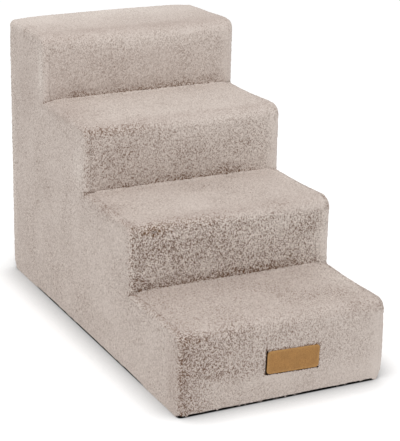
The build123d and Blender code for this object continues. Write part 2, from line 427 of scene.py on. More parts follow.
# How rough the pile stands on each riser, at its left and right end, and on each tread, from the lowest
RISER_RUFFLE = ((0.95, 0.38), (1.05, 0.96), (0.66, 0.54), (0.4, 0.46))
TREAD_RUFFLE = (0.56, 0.47, 0.46, 0.34)
SIDE_RUFFLE = 0.47
LEFT_EDGE_RUFFLE = (0.18, 0.1, 0.05, 0.0)

# Where the risers calm down towards the right, and the first one towards the floor
CALM_RIGHT = (158 * MM, 184 * MM)
CALM_FOOT = (70 * MM, 25 * MM)

# Where the left edges of the risers roughen, and how far the rough pile spills over onto the sides
ROUGH_LEFT = (26 * MM - HALF_WIDTH, 6 * MM - HALF_WIDTH)
SPILL = 9 * MM

# How far in front of its riser a point still belongs to a step, where it faces the front, and elsewhere
FRONT_REACH, TOP_REACH = 25 * MM, 2 * MM

# How far down a brushed nosing reaches, and fades: at its left end, and how much more at its right end
NOSING_REACH = (-3 * MM, 13 * MM)
NOSING_FADE = (10 * MM, 7 * MM)

# How far from a crease the pile rolls up, and over how much the roll ends before a side
ROLL_REACH, ROLL_END = 7 * MM, 16 * MM

# Height at which the pile near the floor stands fully, and how far it keeps off the floor
SHORT_PILE, FLOOR_GAP = 12 * MM, 0.4 * MM

# Along a panel from its seam, where the pile begins to rise and where it stands fully
PILE_START = (-0.5 * MM, 1.5 * MM)

# Out from the label's edge, where the pile is pressed flat and where it stands fully
LABEL_PRESS = (-1 * MM, 1.2 * MM)

# How far behind the label the pressed pile lies, and how far behind it nothing counts as near it
LABEL_GAP, LABEL_DEPTH = 0.2 * MM, 30 * MM

# Out from the label's edge, where the painted shadow round it begins and where it begins to fade
SHADOW_START, SHADOW_FADE = -2 * MM, 1 * MM

# How far from a riser its pile is dark over the crease
SHADE_DEPTH = 8 * MM

# Over how much the low pile ends on each side, at the front and at the back
FRONT_HANG_FADE, BACK_HANG_FADE = 25 * MM, 40 * MM

# Across the front and back, where the pile begins to hang lower and where it fully does
CORNER_HANG = (HALF_WIDTH - 24 * MM, HALF_WIDTH - 10 * MM)

# Height over which the hanging of the pile fades, and how near a seam counts as on it
HANG_HEIGHT, ON_SEAM = 10 * MM, 0.05 * MM

# Height from which the rows of a panel are evenly spaced, above its hem
EVEN_FROM = FOOT + 2 * MM

# Gaps between the plush and the zip's tapes, beside them and behind them
TAPE_SIDE_GAP, TAPE_BACK_GAP = 0.3 * MM, 0.05 * MM

# Painted light and shade of the faces: how pale the pile is painted on each riser, at its left and right end,
# and on each tread
RISER_PAINTED_LIGHT = ((0.44, 0.5), (0.86, 1.0), (0.42, 0.78), (0.3, 0.5))
TREAD_PAINTED_LIGHT = (0.32, 0.46, 0.67, 0.45)
SIDE_PAINTED_LIGHT = 0.53

# Middle, reaches and strength of the places painted paler, or darker, as painted light and shade
PAINTED_LIGHT_SPOTS = (
    ((0, END - 20, T4), (220, 60, 12), 0.55),
    ((0, R4 + 24, T4), (260, 22, 10), -0.4),
    ((0, R3 + 14, T3), (260, 16, 10), -0.4),
    ((0, R2 + 14, T2), (260, 16, 10), -0.32),
    ((-178, 120, T3), (38, 90, 14), -0.5),
    ((-185, -90, T2), (25, 90, 14), -0.3),
    ((186, -75, T2), (16, 90, 14), 0.5),
    ((SIDE, -250, T1), (48, 75, 14), 0.65),
    ((-SIDE, 214, 440), (20, 9, 50), 0.6),
    ((-SIDE, 290, 400), (20, 32, 90), -0.2),
    ((-SIDE, 366, 230), (20, 14, 190), 0.5),
    ((-SIDE, 35, 300), (20, 24, 36), 0.45),
    ((-SIDE, -358, 60), (20, 22, 70), -0.4),
    ((0, R4, 478), (160, 12, 14), 0.3),
)

# Height in millimetres and strength of the band of painted shade over each crease, from the lowest
CREASE_SHADES = ((16, 1.5), (12, 1.8), (11, 1.9))

# Middle, reaches and move of the places where the foam fills the cover more, or less, than elsewhere
PUFFS = (
    ((20, END, T4), (150, 60, 30), (0, 0, 2.4)),
    ((-SIDE, END, T4), (30, 40, 30), (1, 0, -3)),
    ((SIDE, END, T4), (28, 40, 30), (0, 0, -3)),
    ((SIDE, R4 + 30, T4), (60, 50, 40), (1.4, 0, 3)),
    ((SIDE, R3 + 30, T3), (60, 50, 40), (0.6, 0, 3)),
    ((SIDE, R2 + 30, T2), (60, 40, 40), (1.2, 0, 2.6)),
    ((SIDE, R1 + 110, T1), (30, 60, 20), (0, 0, -2)),
    ((SIDE, R1, 60), (20, 40, 40), (1.4, 0, 0)),
)

# Middle, reaches and strength of the places where the ruffled pile is painted with more, or fewer, dark
# specks of brown root and painted shade
RUFFLED_SPOTS = (
    ((-147, R2, 248), (20, 14, 6), 2.2),
    ((-110, R2, 257), (75, 18, 6), 0.8),
    ((-85, R2, 234), (55, 12, 9), -0.35),
    ((-88, R2, 200), (20, 12, 24), -0.35),
    ((-150, R2, 178), (24, 12, 14), -0.3),
    ((-60, R2, 172), (60, 12, 12), -0.35),
    ((110, R2, 232), (50, 12, 9), -0.35),
    ((156, R2, 214), (28, 12, 36), -0.4),
    ((-140, R3, 372), (60, 16, 7), 0.7),
    ((-110, R3, 326), (26, 12, 26), 0.3),
    ((105, R3, 322), (36, 12, 16), 0.25),
    ((-165, R3, 276), (24, 12, 12), -0.5),
    ((-165, R1, 130), (34, 14, 8), 0.5),
    ((-20, R1, 46), (70, 12, 12), -0.5),
    ((-135, R1, 46), (60, 12, 18), -0.35),
    ((-184, R1, 96), (7, 12, 36), 0.3),
    ((-122, R4, 388), (28, 12, 7), 0.9),
    ((-SIDE, 294, 490), (24, 9, 9), 0.6),
    ((150, R4, 395), (26, 12, 9), 0.5),
    ((97, -317, T1), (2.2, 2.2, 2), 1.6),
)

# How the sewn cover behaves as cloth, and how many frames it is blown up for
CLOTH = {
    "quality": 4, "mass": 0.25, "tension_stiffness": 12, "compression_stiffness": 12,
    "bending_stiffness": 1.5, "use_pressure": True, "uniform_pressure_force": 4, "vertex_group_mass": "seams",
}
LAST_FRAME = 20

# How far from the edges of a side its swell fades, and how far from a crease its grid lines even out
SWELL_MARGIN = 60 * MM
EASE = 12 * MM


def side_depth(y, z):
    """How far inside the outline of the stairs a point lies, ignoring the floor."""
    slabs = [np.minimum(y - riser, tread - z) for riser, tread in zip(RISERS, TREADS)]
    return np.minimum(np.maximum.reduce(slabs), BACK - y)


def crease_gap(y, z):
    """Distance to the nearest crease between a tread and the next riser."""
    return np.minimum.reduce([np.hypot(y - riser, z - tread) for riser, tread in CREASES])


def over_step(step, sizes, inset=0.0):
    """Nosing and tread of one step, to the next riser or the end of the top, or a line inside them."""
    radius = sizes.nosing_radius
    centre = (RISERS[step] + radius, TREADS[step] - radius)
    end = RISERS[step + 1] + inset if step < STEP_COUNT - 1 else FOAM_BACK
    return [*arc(centre, radius - inset, math.pi, QUARTER), (end, TREADS[step] - inset)]


def back_edge(sizes):
    """Rounding along the top of the back."""
    radius = sizes.back_radius
    return arc((BACK - radius, TOP - radius), radius, QUARTER, 0)


def pinned(points, sizes):
    """Which points of the cover its seams hold: creases, upright side seams and the foot."""
    reach = 0.75 * sizes.swell_voxel
    x, y, z = points.T
    edge = (side_depth(y, z) < reach) & (np.abs(x) > SEAM_X - reach / 2)
    return (z < FOOT + reach) | (crease_gap(y, z) < reach) | edge


def places_of(mesh):
    """Places of all points of a mesh."""
    places = np.empty(len(mesh.vertices) * 3, np.float32)
    mesh.vertices.foreach_get("co", places)
    return places.reshape(-1, 3).astype(float)


@functools.cache
def swell_field():
    """Blows the sewn cover up as cloth, as the foam does. Returns its points to search, and their moves."""
    sizes = bpy.context.scene.stairs_cover
    line = [(RISERS[0], FOOT)]
    for step in range(STEP_COUNT):
        line += over_step(step, sizes)
    outline = evened([*line, *back_edge(sizes), (BACK, FOOT)], sizes.swell_voxel / 2)[0]
    form = tube("swell_form", np.stack([across_steps(outline, x) for x in (-HALF_WIDTH, HALF_WIDTH)]))
    remesh = form.modifiers.new("Remesh", "REMESH")
    remesh.mode = "VOXEL"
    remesh.voxel_size = sizes.swell_voxel
    graph = bpy.context.evaluated_depsgraph_get()
    fine = bpy.data.meshes.new_from_object(form.evaluated_get(graph))
    form.modifiers.clear()
    form.data = fine
    rest = places_of(fine)
    group = form.vertex_groups.new(name="seams")
    group.add(np.flatnonzero(pinned(rest, sizes)).tolist(), 1.0, "REPLACE")
    cloth = form.modifiers.new("Cloth", "CLOTH")
    for key, value in CLOTH.items():
        setattr(cloth.settings, key, value)
    cloth.settings.effector_weights.gravity = 0
    cloth.point_cache.frame_start = 1
    cloth.point_cache.frame_end = LAST_FRAME
    for number in range(1, LAST_FRAME + 1):
        bpy.context.scene.frame_set(number)
    blown = form.evaluated_get(bpy.context.evaluated_depsgraph_get())
    moves = places_of(blown.to_mesh()) - rest
    blown.to_mesh_clear()
    bpy.context.scene.frame_set(1)
    bpy.data.objects.remove(form)
    reach = np.linalg.norm(moves, axis=1)
    cap = np.percentile(reach, 98)
    moves *= (sizes.swell / max(cap, 1e-6)) * (1 / np.maximum(1, reach / cap))[:, None]
    tree = kdtree.KDTree(len(rest))
    for number, point in enumerate(rest):
        tree.insert(point, number)
    tree.balance()
    return tree, moves


def swell_moves(points, shares):
    """How the foam moves points of the cover."""
    tree, moves = swell_field()
    result = np.empty_like(points)
    for at in np.ndindex(shares.shape):
        found = tree.find_n(points[at], 5)
        weights = np.array([1 / (apart + 0.5 * MM) ** 2 for _, _, apart in found])
        result[at] = weights @ moves[[number for _, number, _ in found]] / weights.sum()
    return result


def grid_swell(points, shares):
    """Swell of a whole grid of points, worked out on a coarser grid and spread evenly."""
    rows, columns = (np.arange(count) for count in shares.shape)
    pick_r, pick_c = (np.unique(np.r_[line[::5], line[-1]]) for line in (rows, columns))
    chosen = np.ix_(pick_r, pick_c)
    moves = swell_moves(points[chosen], shares[chosen])
    full = np.empty_like(points)
    for axis in range(3):
        wide = np.stack([np.interp(columns, pick_c, row) for row in moves[..., axis]])
        full[..., axis] = np.stack([np.interp(rows, pick_r, column) for column in wide.T], 1)
    return full


def drawn_in(points, sizes):
    """Draws the cover in along its creases and lower corners."""
    x, y, z = points.T
    out = points.copy()
    fade = 1 - smooth(SEAM_X, HALF_WIDTH, np.abs(x))
    for riser, tread in CREASES:
        apart = np.hypot(y - riser, z - tread)
        pull = sizes.crease_dip * fade * np.clip(1 - apart / sizes.crease_reach, 0, 1) ** 2
        out[:, 1] += pull
        out[:, 2] -= pull
    near = np.clip(1 - z / sizes.tuck_height, 0, 1) ** 2
    for side, end in ((-1, FRONT), (1, BACK)):
        reach = np.where((x < 0) & (side < 0), sizes.sharp_tuck, sizes.tuck_radius)
        a = np.abs(out[:, 0]) - (HALF_WIDTH - reach)
        b = side * out[:, 1] - (side * end - reach)
        inside = (a > 0) & (b > 0) & (near > 0)
        round_a, round_b = disc_corner(a[inside], b[inside])
        out[inside, 0] -= np.sign(out[inside, 0]) * (a[inside] - round_a) * near[inside]
        out[inside, 1] -= side * (b[inside] - round_b) * near[inside]
    return out


def by_face(points, normals, risers, treads, side):
    """Blends values given for the risers' left and right ends, for the treads and for the sides."""
    x, y, z = points.T
    risers, treads = np.array(risers), np.array(treads)
    across = np.clip((x + HALF_WIDTH) / (2 * HALF_WIDTH), 0, 1)
    # The step whose riser a point is on or before, and the step whose tread it is on
    over, under = (
        np.clip(np.searchsorted(RISERS, y + early) - 1, 0, STEP_COUNT - 1)
        for early in (FRONT_REACH, TOP_REACH)
    )
    riser = risers[over, 0] + (risers[over, 1] - risers[over, 0]) * across
    # The brushed nosing reaches further down towards the right
    start, fade = (left + more * across for left, more in (NOSING_REACH, NOSING_FADE))
    nosing = smooth(0, 1, (np.array(TREADS)[over] - z - start) / fade)
    front = smooth(0.35, 0.9, -normals[:, 1])
    top = smooth(0.55, 0.97, normals[:, 2])
    front_value = treads[over] * (1 - nosing) + riser * nosing
    other_value = top * treads[under] + (1 - top) * side
    return front * front_value + (1 - front) * other_value, front * nosing, over


def roughness(points, normals):
    """How much the pile stands on end: most on the lower risers and along their left edges."""
    x, y, z = points.T
    rough, riser, step = by_face(points, normals, RISER_RUFFLE, TREAD_RUFFLE, SIDE_RUFFLE)
    # Calmer at the right ends of the risers, and low on the first one
    calm = 0.6 * smooth(*CALM_RIGHT, x) + 0.45 * (step == 0) * smooth(*CALM_FOOT, z)
    left = smooth(*ROUGH_LEFT, x)
    rough *= 1 - riser * calm * smooth(-0.95, -0.6, x / HALF_WIDTH)
    patch = 0.75 + 0.5 * drift(points, *RUFFLE_PATCHES)
    # The ruffled pile spills over onto the sides
    spill = (1 - riser) * (np.abs(x) > SEAM_X) * np.exp(-np.maximum(side_depth(y, z), 0) / SPILL)
    spill *= np.array(RISER_RUFFLE)[step, 0] * smooth(TOP, TOP / 3, z)
    return rough * patch + riser * left * np.array(LEFT_EDGE_RUFFLE)[step] + 0.3 * spill


def pile(points, normals, pinch, sizes):
    """Raises the tufts of the pile along the normals. Returns the points, gaps and roughness."""
    stretched = points * np.array([1.15, 1.0, 0.85])
    wobble = np.stack([drift(points, TUFT_WOBBLE, WOBBLE_SEED + axis) for axis in range(3)], 1) - 0.5
    apart, mark = tufts(stretched + wobble * TUFT_SHIFT, sizes.tuft_size, TUFT_SEED)
    fine, _ = tufts(stretched - wobble * TIP_SHIFT, sizes.fine_tuft_size, TIP_SEED)
    rough = roughness(points, normals)
    dome = np.clip(1 - apart ** 2, 0, 1) * (0.6 + 0.8 * mark)
    tips = np.clip(1 - fine ** 2, 0, 1)
    patch = 0.7 + 0.6 * drift(points, *HEIGHT_PATCHES)
    rolled = np.exp(-(crease_gap(points[:, 1], points[:, 2]) / ROLL_REACH) ** 2)
    brushed = 0.35 + 0.65 * rough + 0.5 * rolled
    height = sizes.tuft_height * brushed * patch * (0.72 * dome + 0.4 * tips - 0.55)
    pressed = 1 - smooth(*LABEL_PRESS, off_label(points)[0])
    near_floor = 0.3 + 0.7 * smooth(FOOT, FOOT + SHORT_PILE, points[:, 2])
    roll = sizes.crease_roll * rolled * smooth(0.5, 0.95, normals[:, 2])
    roll *= smooth(SEAM_X, SEAM_X - ROLL_END, np.abs(points[:, 0]))
    height = (height + sizes.pile_rise + roll) * pinch * near_floor
    # Where the tufts part, later painted dark, partly as their roots and partly as painted shade between them
    gap = smooth(0.66, 1.0, apart) + smooth(0.72, 1.05, fine) * 0.6
    gap = np.clip(gap * rough * (0.5 + patch) * (1 - pressed), 0, 1)
    moved = points + normals * height[:, None]
    moved[:, 2] = np.maximum(moved[:, 2], FLOOR_GAP)
    label_back = LABEL[1].y - bpy.context.scene.stairs_trim.label_proud + LABEL_GAP
    moved[:, 1] += pressed * np.maximum(label_back - moved[:, 1], 0)
    return moved, gap, rough


def label_middle(sizes):
    """Middle of the label, which sits a little off its packed place in the soft pile."""
    return np.array((LABEL[0] + LABEL[1]) / 2) + (sizes.label_shift, 0, sizes.label_lift)


def off_label(points):
    """Distance outside the label's edge, its direction across, and that up the riser."""
    trim = bpy.context.scene.stairs_trim
    x, y, z = (points - label_middle(trim)).T
    cosine, sine = math.cos(trim.label_tilt), math.sin(trim.label_tilt)
    across, up = x * cosine - z * sine, z * cosine + x * sine
    out_across, out_up = np.abs(across) - trim.label_width / 2, np.abs(up) - trim.label_height / 2
    out = np.maximum(out_across, out_up)
    out[y > LABEL_DEPTH] = 1.0
    return out, np.sign(across) * (out_across > out_up), np.sign(up) * (out_up >= out_across)


def spotted(points, spots):
    """Adds up soft spots, each with its middle and reaches in millimetres, and its strength."""
    total = 0
    for middle, reach, strength in spots:
        apart = (((points / MM - middle) / reach) ** 2).sum(1)
        total = total + np.exp(-apart)[:, None] * np.atleast_1d(strength)
    return np.squeeze(total)


def pile_shade(points, normals):
    """How much painted shade and brown root the pile shows: a band of painted shade over each crease, a
    painted shadow round the label, and more dark specks where it is ruffled.
    """
    x, y, z = points.T
    across = (x + SEAM_X) / (2 * SEAM_X)
    along = smooth(-0.15, 0.6, across) * (1 - smooth(0.75, 1.02, across))
    fray = 0.7 + 0.6 * drift(points, *CREASE_FRAY)
    shade = spotted(points, RUFFLED_SPOTS)
    # A band of painted shade over each crease, fading up the riser
    for (riser, tread), (height, strength) in zip(CREASES, CREASE_SHADES):
        near = (np.abs(y - riser) < SHADE_DEPTH) & (normals[:, 1] < -0.3)
        rise = np.clip((z - tread) / (height * MM * fray * (0.35 + 0.75 * along)), 0, 3)
        shade += near * strength * np.exp(-rise ** 2) * (0.45 + 0.55 * along)
    out, sideways, upward = off_label(points)
    # The painted shadow round the label is wide above it and at its left
    reach = (1.5 - 1.1 * sideways + 0.8 * upward) * MM
    ring = np.exp(-(np.maximum(out - SHADOW_FADE, 0) / reach) ** 2) * (out > SHADOW_START)
    return shade + ring * (2.8 - 1.4 * sideways - 1.2 * upward)


def hang(points, pinch, sizes):
    """Lets the hem of the pile hang lower near the corners, and a little unevenly."""
    x, y, z = points.T
    beside = y - FRONT
    ends = 1 - smooth(sizes.front_hang - FRONT_HANG_FADE, sizes.front_hang, beside)
    ends += smooth(sizes.back_hang, sizes.back_hang + BACK_HANG_FADE, beside)
    on_side = (np.abs(x) > SEAM_X) & (beside > PLUSH)
    # The sharp left front corner doesn't hang
    outwards = x * np.where(beside < PLUSH, 1, np.sign(x))
    at_corner = smooth(*CORNER_HANG, outwards)
    uneven = 0.35 * smooth(0.45, 0.75, drift(points, *HEM_WAVES))
    uneven += 0.5 * (beside < PLUSH) * smooth(0.5, 0.75, drift(points, *HEM_TIPS))
    fade = np.clip((FOOT + HANG_HEIGHT - z) / (HANG_HEIGHT + sizes.hem_drop / 2), 0, 1)
    held = (pinch <= 0) & (z > FOOT - ON_SEAM)
    out = points.copy()
    out[:, 2] -= sizes.corner_hang * np.clip(np.where(on_side, ends, at_corner) + uneven, 0, 1) * fade * ~held
    return out


def add_pile(grid, normals, shares, pinch, sizes):
    """Swollen, drawn-in and tufted points of a panel's outer face, with what its colour needs."""
    flat, turned, pinch = grid.reshape(-1, 3), normals.reshape(-1, 3), pinch.reshape(-1)
    swollen = flat + grid_swell(grid, shares).reshape(-1, 3) + spotted(flat, PUFFS) * MM
    moved, gap, rough = pile(hang(drawn_in(swollen, sizes), pinch, sizes), turned, pinch, sizes)
    # The pile is painted paler on some faces and spots and darker on others, as painted light and shade
    painted_nap_light = by_face(flat, turned, RISER_PAINTED_LIGHT, TREAD_PAINTED_LIGHT, SIDE_PAINTED_LIGHT)[0] + spotted(flat, PAINTED_LIGHT_SPOTS)
    return moved, {
        "pile_gap": gap, "pile_rough": rough, "pile_shade": pile_shade(flat, turned), "pile_painted_nap_light": painted_nap_light
    }


def hem(sizes):
    """How far in and how high the hanging edge of the pile lies, from the bottom seam to the face."""
    radius = sizes.hem_inset / 2
    return [(sizes.hem_inset, FOOT), *arc((radius, FOOT - sizes.hem_drop + radius), -radius, math.pi, 0, 7)]


def sweep_panel(node, line, inner, stations, spread, spacing, material, mirrored=False, last_held=True):
    """Closed plush panel: a tufted outer face swept through stations, and a plain inner one.

    The line and the inner line are (first, second) points, spread turns them and a station
    into a place, and each station is (where, how far inwards the face lies there). A seam
    holds the line's first end, and mostly its last."""
    sizes = bpy.context.scene.stairs_cover
    places, normals = evened(line, spacing)
    count, width = len(places), len(stations)
    mirror = np.array([-1 if mirrored else 1, 1, 1])
    outer = np.stack([spread(places - normals * inset, where) for where, inset in stations], 1) * mirror
    facing = np.repeat((spread(normals, 0) * mirror)[:, None], width, 1)
    along = np.linspace(0, 1, count)[:, None]
    across = np.linspace(0, 1, width)
    shares = 4 * along * (1 - along) * np.sqrt(np.clip(4 * across * (1 - across), 0, 1))
    run = run_along(places)
    pinch = smooth(*PILE_START, np.minimum(run, run[-1] - run) if last_held else run)
    pinch = pinch[:, None] * np.array([1 - min(inset / sizes.hem_inset, 1) for _, inset in stations])
    moved, marks = add_pile(outer, facing, shares, pinch, sizes)
    backing = evened(inner, run_along(inner)[-1] / (count - 1))[0]
    ends = [spread(backing, stations[end][0]) * mirror for end in (0, -1)]
    first = count * width + np.arange(count)
    index = np.column_stack([first, np.arange(count * width).reshape(count, width), first + count])
    piece = new_solid(node + "_pile", np.concatenate([moved, *ends]), tube_faces(index))
    add_attributes(piece, **marks)
    place(piece, node, material)


def make_steps(sizes, material):
    """One plush strip for each step: up the riser, over the nosing and along the tread."""
    spacing = sizes.step_mesh
    stations = [(x, 0.0) for x in even(-SEAM_X, SEAM_X, spacing)]
    for step in range(STEP_COUNT):
        foot, low = [(RISERS[0] + inset, height) for inset, height in hem(sizes)], FOOT
        if step:
            foot, low = [(RISERS[step], TREADS[step - 1])], TREADS[step - 1] - PLUSH
        inner = [(RISERS[step] + PLUSH, low), *over_step(step, sizes, PLUSH)]
        line = foot + over_step(step, sizes)
        sweep_panel(f"plush_step_{step + 1}", line, inner, stations, across_steps, spacing, material)


def make_back(sizes, material):
    """The band along the top of the back, and the two halves beside the zip."""
    spacing = sizes.side_mesh
    stations = [(x, 0.0) for x in even(-SEAM_X, SEAM_X, spacing)]
    line = [(FOAM_BACK, TOP), *back_edge(sizes), (BACK, BAND_FOOT)]
    inner = [(FOAM_BACK - 0.5 * MM, TOP - PLUSH), (FOAM_BACK, TOP - PLUSH), (FOAM_BACK, BAND_FOOT)]
    sweep_panel("plush_back_band", line, inner, stations, across_steps, spacing, material)
    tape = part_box("zip_tape_right")[1]
    tape_top, tape_edge = tape.y + TAPE_BACK_GAP, tape.x + TAPE_SIDE_GAP
    radius = sizes.slot_radius
    line = [(SLOT_X, BACK - radius), *arc((SLOT_X + radius, BACK - radius), radius, math.pi, QUARTER)]
    line.append((SEAM_X, BACK))
    inner = [(SLOT_X, tape_top), (tape_edge, tape_top), (tape_edge, FOAM_BACK), (SEAM_X, FOAM_BACK)]
    stations = [(height, inset) for inset, height in hem(sizes)]
    stations += [(z, 0.0) for z in even(EVEN_FROM, BAND_FOOT, spacing)]
    for side in SIDES:
        sweep_panel(
            f"plush_back_{side}", line, inner, stations, upwards, spacing, material, side == "left", False
        )


def side_grid(sizes):
    """Grid of the right side panel, its directions, its depth inside the outline and what is solid."""
    spacing = sizes.side_mesh
    rim_count = max(4, round(PLUSH * QUARTER / spacing))
    rim = PLUSH * (1 - np.sin(np.linspace(QUARTER, 0, rim_count + 1)))
    slack = PLUSH * np.linspace(0, 1, rim_count + 1) - rim
    columns, column_groups = [], []
    for start, end in zip(RISERS, [*RISERS[1:], FOAM_BACK]):
        column_groups.append(np.arange(len(columns), len(columns) + len(rim)))
        columns += [*(start + rim), *even(start + rim[-1], end, spacing)[1:-1]]
    columns += list(BACK - rim[::-1])
    hem_points = [(PLUSH, FOOT), *hem(sizes)]
    rows, row_groups = [height for _, height in hem_points], []
    low = EVEN_FROM
    for tread in TREADS:
        rows += list(even(low, tread - PLUSH, spacing)[:-1])
        row_groups.append(np.arange(len(rows), len(rows) + len(rim)))
        rows += list(tread - rim[::-1])
        low = tread + spacing
    insets = np.zeros((len(rows), 1))
    insets[:len(hem_points), 0] = [inset for inset, _ in hem_points]
    y, z = np.meshgrid(columns, rows)
    plain_y, plain_z = y.copy(), z.copy()
    # Behind a crease the close lines at an edge spread out evenly
    for step, (riser, tread) in enumerate(CREASES):
        group = column_groups[step + 1]
        y[:, group] += np.clip((tread - plain_z[:, group]) / EASE, 0, 1) * slack
        group = row_groups[step]
        z[group] -= np.clip((plain_y[group] - riser) / EASE, 0, 1) * slack[::-1, None]
    depth = side_depth(y, z)
    deepest = np.stack([np.minimum(y - riser, tread - z) for riser, tread in zip(RISERS, TREADS)]).argmax(0)
    riser_gap = y - np.array(RISERS)[deepest]
    tread_gap = np.array(TREADS)[deepest] - z
    at_back = BACK - y < np.minimum(riser_gap, tread_gap)
    at_front = (riser_gap < tread_gap) & ~at_back
    out_y = 1.0 * at_back - at_front
    out_z = 1.0 * ~(at_back | at_front)
    corners = [(riser, tread, -1, sizes.nosing_radius) for riser, tread in zip(RISERS, TREADS)]
    for edge_y, edge_z, sign, radius in [*corners, (BACK, TOP, 1, sizes.back_radius)]:
        a = sign * y - (sign * edge_y - radius)
        b = z - (edge_z - radius)
        inside = (a > 0) & (b > 0) & (a <= radius + 1e-6) & (b <= radius + 1e-6)
        round_a, round_b = disc_corner(a[inside], b[inside])
        y[inside] -= sign * (a[inside] - round_a)
        z[inside] -= b[inside] - round_b
        ring = np.maximum(np.hypot(round_a, round_b), 1e-9)
        out_y[inside] = sign * round_a / ring
        out_z[inside] = round_b / ring
    steep = 1 - np.clip(depth, 0, PLUSH) / PLUSH
    rise = bulge(steep)
    facing = unit(np.stack([rise, out_y * steep, out_z * steep], -1))
    grid = np.stack([SEAM_X + PLUSH * rise, y, z], -1) - facing * insets[..., None]
    pinch = np.clip(1 - insets / sizes.hem_inset, 0, 1) * np.ones_like(y)
    solid = side_depth(*((plain[:-1, :-1] + plain[1:, 1:]) / 2 for plain in (plain_y, plain_z))) > 0
    return grid, facing, depth, pinch, solid


def close_behind(made):
    """Closes the inner face of a side panel, with one plain face behind each step."""
    before, vertex = None, next(vertex for vertex in made.verts if vertex.is_boundary)
    rim = []
    while vertex not in rim[:1]:
        rim.append(vertex)
        beside = [edge.other_vert(vertex) for edge in vertex.link_edges if edge.is_boundary]
        before, vertex = vertex, next(other for other in beside if other is not before)

    def nearest(y, z):
        return min(range(len(rim)), key=lambda i: (rim[i].co.y - y) ** 2 + (rim[i].co.z - z) ** 2)

    def corners():
        return [nearest(y, FOOT) for y in RISERS[1:]], [nearest(*crease) for crease in CREASES]

    start = nearest(RISERS[1], FOOT)
    rim = rim[start:] + rim[:start]
    feet, creases = corners()
    if feet[1] > creases[0]:
        rim = rim[:1] + rim[:0:-1]
        feet, creases = corners()
    made.faces.new(rim[feet[-1]:creases[-1] + 1])
    made.faces.new(rim[creases[0]:] + rim[:1])
    for step in range(len(feet) - 1):
        floor = rim[feet[step]:feet[step + 1] + 1]
        made.faces.new(floor + rim[creases[step + 1]:creases[step] + 1])


def make_side(side, sizes, material):
    """One stair-shaped side of the cover, with its pile wrapped round the edges."""
    grid, facing, depth, pinch, solid = side_grid(sizes)
    mirror = np.array([-1 if side == "left" else 1, 1, 1])
    shares = smooth(0, SWELL_MARGIN, depth) * smooth(0, SWELL_MARGIN, grid[..., 2])
    moved, marks = add_pile(grid * mirror, facing * mirror, shares, pinch, sizes)
    quads = grid_faces(np.arange(depth.size).reshape(depth.shape))[solid]
    used = np.unique(quads)
    node = f"plush_side_{side}"
    piece = new_solid(node + "_pile", moved[used], np.searchsorted(used, quads).tolist(), close_behind)
    add_attributes(piece, **{name: values[used] for name, values in marks.items()})
    place(piece, node, material)


# Foam, base, label and zip

# Rounding and unevenness of the cut foam, and its mesh sizes round its outline and along it
FOAM_EDGE, FOAM_UNEVENNESS = 1.5 * MM, 0.4 * MM
FOAM_MESH = (9 * MM, 12 * MM)

# Rounding of the base fabric, and the mesh sizes of it and of its tape, round the base and round the tape
FABRIC_EDGE, FABRIC_MESH = 0.3 * MM, 4 * MM
BINDING_MESH = (5 * MM, 0.5 * MM)

# The line that is pressed in along the label's edge: its depth, its distance from the edge and its reach
PRESSED_LINE = (0.18 * MM, 2.2 * MM, 0.5 * MM)

# How far from its edge the label waves fully, and how far in its painted highlight along the rim reaches
WAVES_FROM, RIM_HIGHLIGHT_REACH = 6 * MM, 3.2 * MM

# Mesh sizes of the zip's tapes, round their outline and along them, and the unevenness of the end tab
BAND_MESH = (0.4 * MM, 3 * MM)
TAB_UNEVENNESS = 0.25 * MM

# Distance within which the metal's points are joined, and the angle from which its edges are broken
JOINED, SHARP = 0.005 * MM, math.radians(40)

# Reach and height, as shares, of the rings of points on a grip dot, and how many points each has
DOT_RINGS = ((1.0, 1.0), (0.86, 0.35), (0.5, 0.0))
DOT_SIDES = 8

# Points in a turn of the zip's coils, and round their wire
COIL_TURN = 10
WIRE_SIDES = 6


def rounded_box(low, high, radii):
    """Rounded rectangle, from its first corner on: low-low, high-low, high-high, low-high."""
    points = []
    for quarter, (signs, radius) in enumerate(zip([(1, 1), (-1, 1), (-1, -1), (1, -1)], radii)):
        centre = [(low if sign > 0 else high)[axis] + sign * radius for axis, sign in enumerate(signs)]
        start = math.pi + quarter * QUARTER
        points += arc(centre, radius, start, start + QUARTER, 9)
    return points


def closed_outline(points, spacing):
    """Evenly spaced points of a closed outline and their outward normals."""
    places, inward = evened([*points, points[0]], spacing)
    return places[:-1], -inward[:-1]


def sweep_closed(name, outline, stations, spread, unevenness=0.0):
    """Closed solid: an outline swept through stations of (where, how far the outline shrinks)."""
    places, normals = outline
    rings = np.stack([spread(places - normals * inset, where) for where, inset in stations])
    uneven = unevenness * drift(rings.reshape(-1, 3), *FOAM_WAVES).reshape(*rings.shape[:2], 1)
    return tube(name, rings - spread(normals, 0.0) * uneven)


def soft_stations(low, high, radius, spacing):
    """Stations from one end to the other, with a rounding at both."""
    turn = arc((radius, radius), -radius, 0, QUARTER, 5)
    stations = [(low + run, inset) for run, inset in turn]
    stations += [(where, 0.0) for where in even(low + radius, high - radius, spacing)[1:-1]]
    return stations + [(high - run, inset) for run, inset in turn[::-1]]


def make_foam(sizes, firm, soft):
    """The foam core: a base slab, and a firm slab and a soft layer for each step."""
    around, along = FOAM_MESH
    steps = [f"{kind}_{step + 1}" for step in range(STEP_COUNT) for kind in ("foam_slab", "comfort_layer")]
    for node in ["base_foam_slab", *steps]:
        low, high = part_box(node)
        slot, material, nose = "foam", firm, FOAM_EDGE
        if node.startswith("comfort"):
            slot, material, nose = "comfort_foam", soft, sizes.nosing_radius - PLUSH + MM
        outline = closed_outline(rounded_box(low.yz, high.yz, [*[FOAM_EDGE] * 3, nose]), around)
        stations = soft_stations(low.x, high.x, FOAM_EDGE, along)
        block = sweep_closed(node + "_foam", outline, stations, across_steps, FOAM_UNEVENNESS)
        place(block, node, material)


